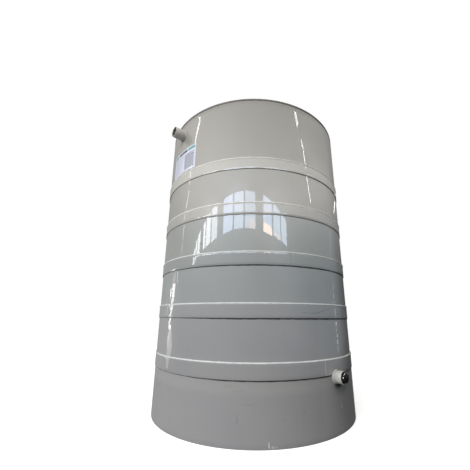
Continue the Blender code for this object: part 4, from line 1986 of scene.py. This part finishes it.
@dataclass
class Studio:
    """Camera, floor, sky and lights."""

    camera_place: Point = (2.2876, -2.0597, 0.8675)
    heading: float = 49.185
    pitch: float = 15.506
    roll: float = 0.282
    lens: float = 20.081
    shift: tuple[float, float] = (-0.02613, 0.02019)
    pane_bearing: float = -50.0
    pane_distance: float = 5.0
    pane_radiance: float = 8.5
    streak_radiance: float = 14.0
    streak_tint: Colour = (1.0, 0.97, 0.93)
    streak_overlap: float = 1.04
    streak_aim: float = 0.6
    glint_reach: float = 0.10
    head_flat: float = 0.032
    haze_height: float = 27.0
    key_bearing: float = -82.0
    key_height: float = 20.0
    key_strength: float = 2.5
    key_softness: float = 35.0
    floor_radius: float = 6.0
    floor_heights: tuple[float, float] = (-0.012, -0.0005)
    floor_glow: float = 0.55
    watts_per_radiance: float = 3.1416

    def build(self) -> None:
        """Set up the camera, the floor and all the light."""
        bpy.context.scene.view_settings.view_transform = "Standard"
        self.camera()
        self.floor()
        self.sky()
        self.key()
        self.windows()
        self.streaks()

    def camera(self) -> None:
        """Place the camera where the photograph was taken from."""
        data = bpy.data.cameras.new("photo_camera")
        data.sensor_width = 36.0
        data.lens = self.lens
        data.shift_x, data.shift_y = self.shift
        data.clip_start = 0.05
        item = bpy.data.objects.new("photo_camera", data)
        item.matrix_world = (Matrix.Translation(self.camera_place)
                             @ Matrix.Rotation(math.radians(self.heading), 4, "Z")
                             @ Matrix.Rotation(math.radians(90 + self.pitch), 4, "X")
                             @ Matrix.Rotation(math.radians(self.roll), 4, "Z"))
        bpy.context.scene.collection.objects.link(item)
        bpy.context.scene.camera = item

    def floor(self) -> None:
        """Lay the plain pale floor."""
        edge, (low, high) = self.floor_radius, self.floor_heights
        floor = turned("studio_floor", [(0, low), (edge, low), (edge, high), (0, high)], 128, ring=False)
        material, bench, shader, place = open_material("studio_floor_white")
        cloud = bench.noise(place, 0.8, 2.0)
        bench.feed(shader, {
            "Base Color": bench.blend(cloud, (0.90, 0.90, 0.90), (0.93, 0.93, 0.93)),
            "Roughness": 0.9,
            "Emission Color": (1.0, 1.0, 1.0, 1.0),
            "Emission Strength": self.floor_glow})
        floor.data.materials.append(material)
        floor.visible_glossy = False
        floor.visible_diffuse = False

    def sky(self) -> None:
        """Light the tank from a soft sky, which the camera itself sees as plain white."""
        world = bpy.data.worlds.new("studio_sky")
        bpy.context.scene.world = world
        world.use_nodes = True
        world.node_tree.nodes.clear()
        bench = Bench(world.node_tree)
        rays = bench.add("ShaderNodeLightPath").outputs
        bearing = SkyBearing(bench)
        lane = self.lane(bench, bearing, rays["Is Diffuse Ray"])
        total = bench.math("ADD", bench.math("ADD", self.vault(bench, bearing), lane),
                           self.haze(bench, bearing, rays["Is Diffuse Ray"]))
        tint = bench.blend(bench.remap(bearing.height, 5, 35), (1.0, 1.0, 1.0), (1.0, 0.985, 0.95))
        bluish = bench.math("MULTIPLY", lane, bench.remap(bearing.height, 10, 24, 1.0, 0.0))
        tint = bench.blend(bluish, tint, (0.62, 0.95, 1.25))
        lit = bench.add("ShaderNodeBackground", {"Color": tint, "Strength": total}).outputs[0]
        white = bench.add("ShaderNodeBackground", {"Color": (1.0, 1.0, 1.0, 1.0),
                                                   "Strength": 1.0}).outputs[0]
        mixed = bench.add("ShaderNodeMixShader", {0: rays["Is Camera Ray"], 1: lit, 2: white}).outputs[0]
        bench.add("ShaderNodeOutputWorld", {"Surface": mixed})

    def vault(self, bench: Bench, bearing: SkyBearing) -> bpy.types.NodeSocket:
        """Even part of the sky: bright over the left and behind, dim at the right, bright overhead.

        Args:
            bench: The sky's bench.
            bearing: Where each direction of the sky lies.

        Returns:
            Its strength.
        """
        left = bench.remap(bearing.toward(-85), -0.25, 0.95, 0.0, 0.16)
        behind = bench.remap(bearing.toward(163), 0.56, 0.98, 0.0, 0.33)
        low = bench.math("ADD", bench.math("ADD", left, behind), 0.03)
        high = bench.math("MAXIMUM", low, 0.25)
        rising = bench.remap(bearing.height, 4, 22)
        soft = bench.math("ADD", bench.math("MULTIPLY", low, bench.math("SUBTRACT", 1.0, rising)),
                          bench.math("MULTIPLY", high, rising))
        return bench.math("ADD", soft, bench.remap(bearing.height, 48, 75, 0.0, 0.9))

    def lane(self, bench: Bench, bearing: SkyBearing,
             diffuse: bpy.types.NodeSocket) -> bpy.types.NodeSocket:
        """Low bluish patch at the right, which only the gloss mirrors.

        Args:
            bench: The sky's bench.
            bearing: Where each direction of the sky lies.
            diffuse: Whether a ray is a diffuse one.

        Returns:
            Its strength.
        """
        lane = bench.math("MULTIPLY", bench.remap(bearing.toward(30), 0.5, 0.95),
                          bench.remap(bearing.height, -14, -4, 0.0, 0.5))
        lane = bench.math("MULTIPLY", lane, bench.remap(bearing.height, 24, 34, 1.0, 0.0))
        return bench.math("MULTIPLY", lane, bench.math("SUBTRACT", 1.0, diffuse))

    def haze(self, bench: Bench, bearing: SkyBearing,
             diffuse: bpy.types.NodeSocket) -> bpy.types.NodeSocket:
        """Level band of haze, with a steeper lower side.

        Args:
            bench: The sky's bench.
            bearing: Where each direction of the sky lies.
            diffuse: Whether a ray is a diffuse one.

        Returns:
            Its strength.
        """
        away = bench.math("SUBTRACT", bearing.height, self.haze_height)
        away = bench.math("MULTIPLY", away, bench.remap(away, -0.01, 0.01, 1 / 9, 1 / 16, smooth=False))
        band = bench.math("EXPONENT", bench.math("MULTIPLY", bench.math("MULTIPLY", away, away), -1.0))
        spread = bench.remap(bearing.toward(-38), -0.90, 0.75)
        share = bench.remap(diffuse, 0.0, 1.0, 2.3, 0.6, smooth=False)
        return bench.math("MULTIPLY", bench.math("MULTIPLY", band, spread), share)

    def key(self) -> None:
        """Set up the broad key light that shades the tank from left to right."""
        data = bpy.data.lights.new("key", "SUN")
        data.energy = self.key_strength
        data.angle = math.radians(self.key_softness)
        item = bpy.data.objects.new("key", data)
        item.matrix_world = (Matrix.Rotation(math.radians(self.key_bearing - 90), 4, "Z")
                             @ Matrix.Rotation(math.radians(self.key_height - 90), 4, "X"))
        item.visible_glossy = False
        bpy.context.scene.collection.objects.link(item)

    def windows(self) -> None:
        """Set up the row of windows that the gloss mirrors."""
        normal = at_bearing(1.0, self.pane_bearing, 0.0)
        along = Vector((-normal.y, normal.x, 0.0))
        turn = (-normal).to_track_quat("-Z", "Y").to_matrix().to_4x4()
        for number, pane in enumerate(PANES, 1):
            middle = normal * self.pane_distance + along * ((pane.left + pane.right) / 2)
            middle.z = (pane.sill + pane.head) / 2
            size = (pane.right - pane.left, pane.head - pane.sill)
            self.panel(f"window_{number}", Matrix.Translation(middle) @ turn, size,
                       self.pane_radiance * pane.strength, pane.tint)

    def streaks(self) -> None:
        """Set up the thin bright strips that the gloss mirrors."""
        for line, streak in enumerate(STREAKS, 1):
            for number, (start, end) in enumerate(zip(streak.points, streak.points[1:]), 1):
                first, last = Vector(start), Vector(end)
                along = last - first
                middle = (first + last) / 2
                facing = (middle - Vector((0, 0, middle.z * self.streak_aim))).normalized()
                across = along.cross(facing).normalized()
                facing = across.cross(along).normalized()
                turn = Matrix((along.normalized(), -across, facing)).transposed().to_4x4()
                self.panel(f"strip_{line}_{number}", Matrix.Translation(middle) @ turn,
                           (along.length * self.streak_overlap, streak.width),
                           self.streak_radiance * streak.strength, self.streak_tint)

    def glints(self, heads: Sequence[bpy.types.Object]) -> None:
        """Set up the small lights that only the plugs' heads mirror.

        Args:
            heads: The plug heads.
        """
        for number, head in enumerate(heads, 1):
            lit = bpy.data.collections.new(f"plug_glint_{number}")
            lit.objects.link(head)
            spots = [corner.co for corner in head.data.vertices]
            middle = sum(spots, Vector()) / len(spots)
            side = 1.0 if middle.x > 0 else -1.0
            front = max(abs(spot.x) for spot in spots)
            swing = Matrix.Diagonal((side, side, 1.0))
            eye = swing @ Vector(self.camera_place)
            for count, glint in enumerate(GLINTS, 1):
                turn = math.radians(glint.turn)
                normal = Vector((0.0, -math.cos(turn), math.sin(turn)))
                tangent = Vector((0.0, math.sin(turn), math.cos(turn)))
                point = (Vector((front - glint.back, 0.0, middle.z)) + normal * self.head_flat
                         + tangent * glint.along)
                ray = (point - eye).normalized().reflect(normal)
                facing = (swing @ -ray).to_track_quat("-Z", "Y").to_matrix().to_4x4()
                light = self.panel(f"plug_glint_{number}_{count}",
                                   Matrix.Translation(swing @ (point + ray * self.glint_reach)) @ facing,
                                   (glint.size, glint.size), glint.radiance, glint.tint)
                light.light_linking.receiver_collection = lit
                light.light_linking.blocker_collection = lit

    def panel(self, name: str, place: Matrix, size: tuple[float, float], radiance: float,
              tint: Colour) -> bpy.types.Object:
        """Add one flat light that shows in the gloss but not to the camera.

        Args:
            name: The light's name.
            place: Its placement; it shines along its own -Z.
            size: Its length along X and along Y.
            radiance: Its brightness.
            tint: Its colour.

        Returns:
            The light.
        """
        data = bpy.data.lights.new(name, "AREA")
        data.shape = "RECTANGLE"
        data.size, data.size_y = size
        data.color = tint
        data.energy = radiance * self.watts_per_radiance * size[0] * size[1]
        item = bpy.data.objects.new(name, data)
        item.matrix_world = place
        item.visible_camera = False
        item.visible_diffuse = False
        bpy.context.scene.collection.objects.link(item)
        return item


def main() -> None:
    """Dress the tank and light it."""
    logging.basicConfig(level=logging.INFO, format="%(name)s: %(message)s")
    studio = Studio()
    studio.build()
    trees = Trees()
    finishes = Finishes()
    for part in (
            WallCourses(trees, finishes),
            HoopBands(trees, finishes),
            RoofDeck(finishes),
            Manhole(trees, finishes),
            RoofVent(trees, finishes),
            PipeStub(trees, finishes, "overflow_nozzle", -90.0),
            PipeStub(trees, finishes, "inlet_nozzle", 90.0),
            OutletFitting(trees, finishes, "outlet", 0.0, OUTLET_HEIGHT),
            OutletFitting(trees, finishes, "drain", 180.0, DRAIN_HEIGHT),
            Sticker(trees, finishes),
            HiddenWorks(finishes)):
        LOG.info("building %s", type(part).__name__)
        part.build()
    studio.glints([bpy.data.objects[f"{prefix}_plug_head"] for prefix in ("outlet", "drain")])


if __name__ == "__main__":
    main()
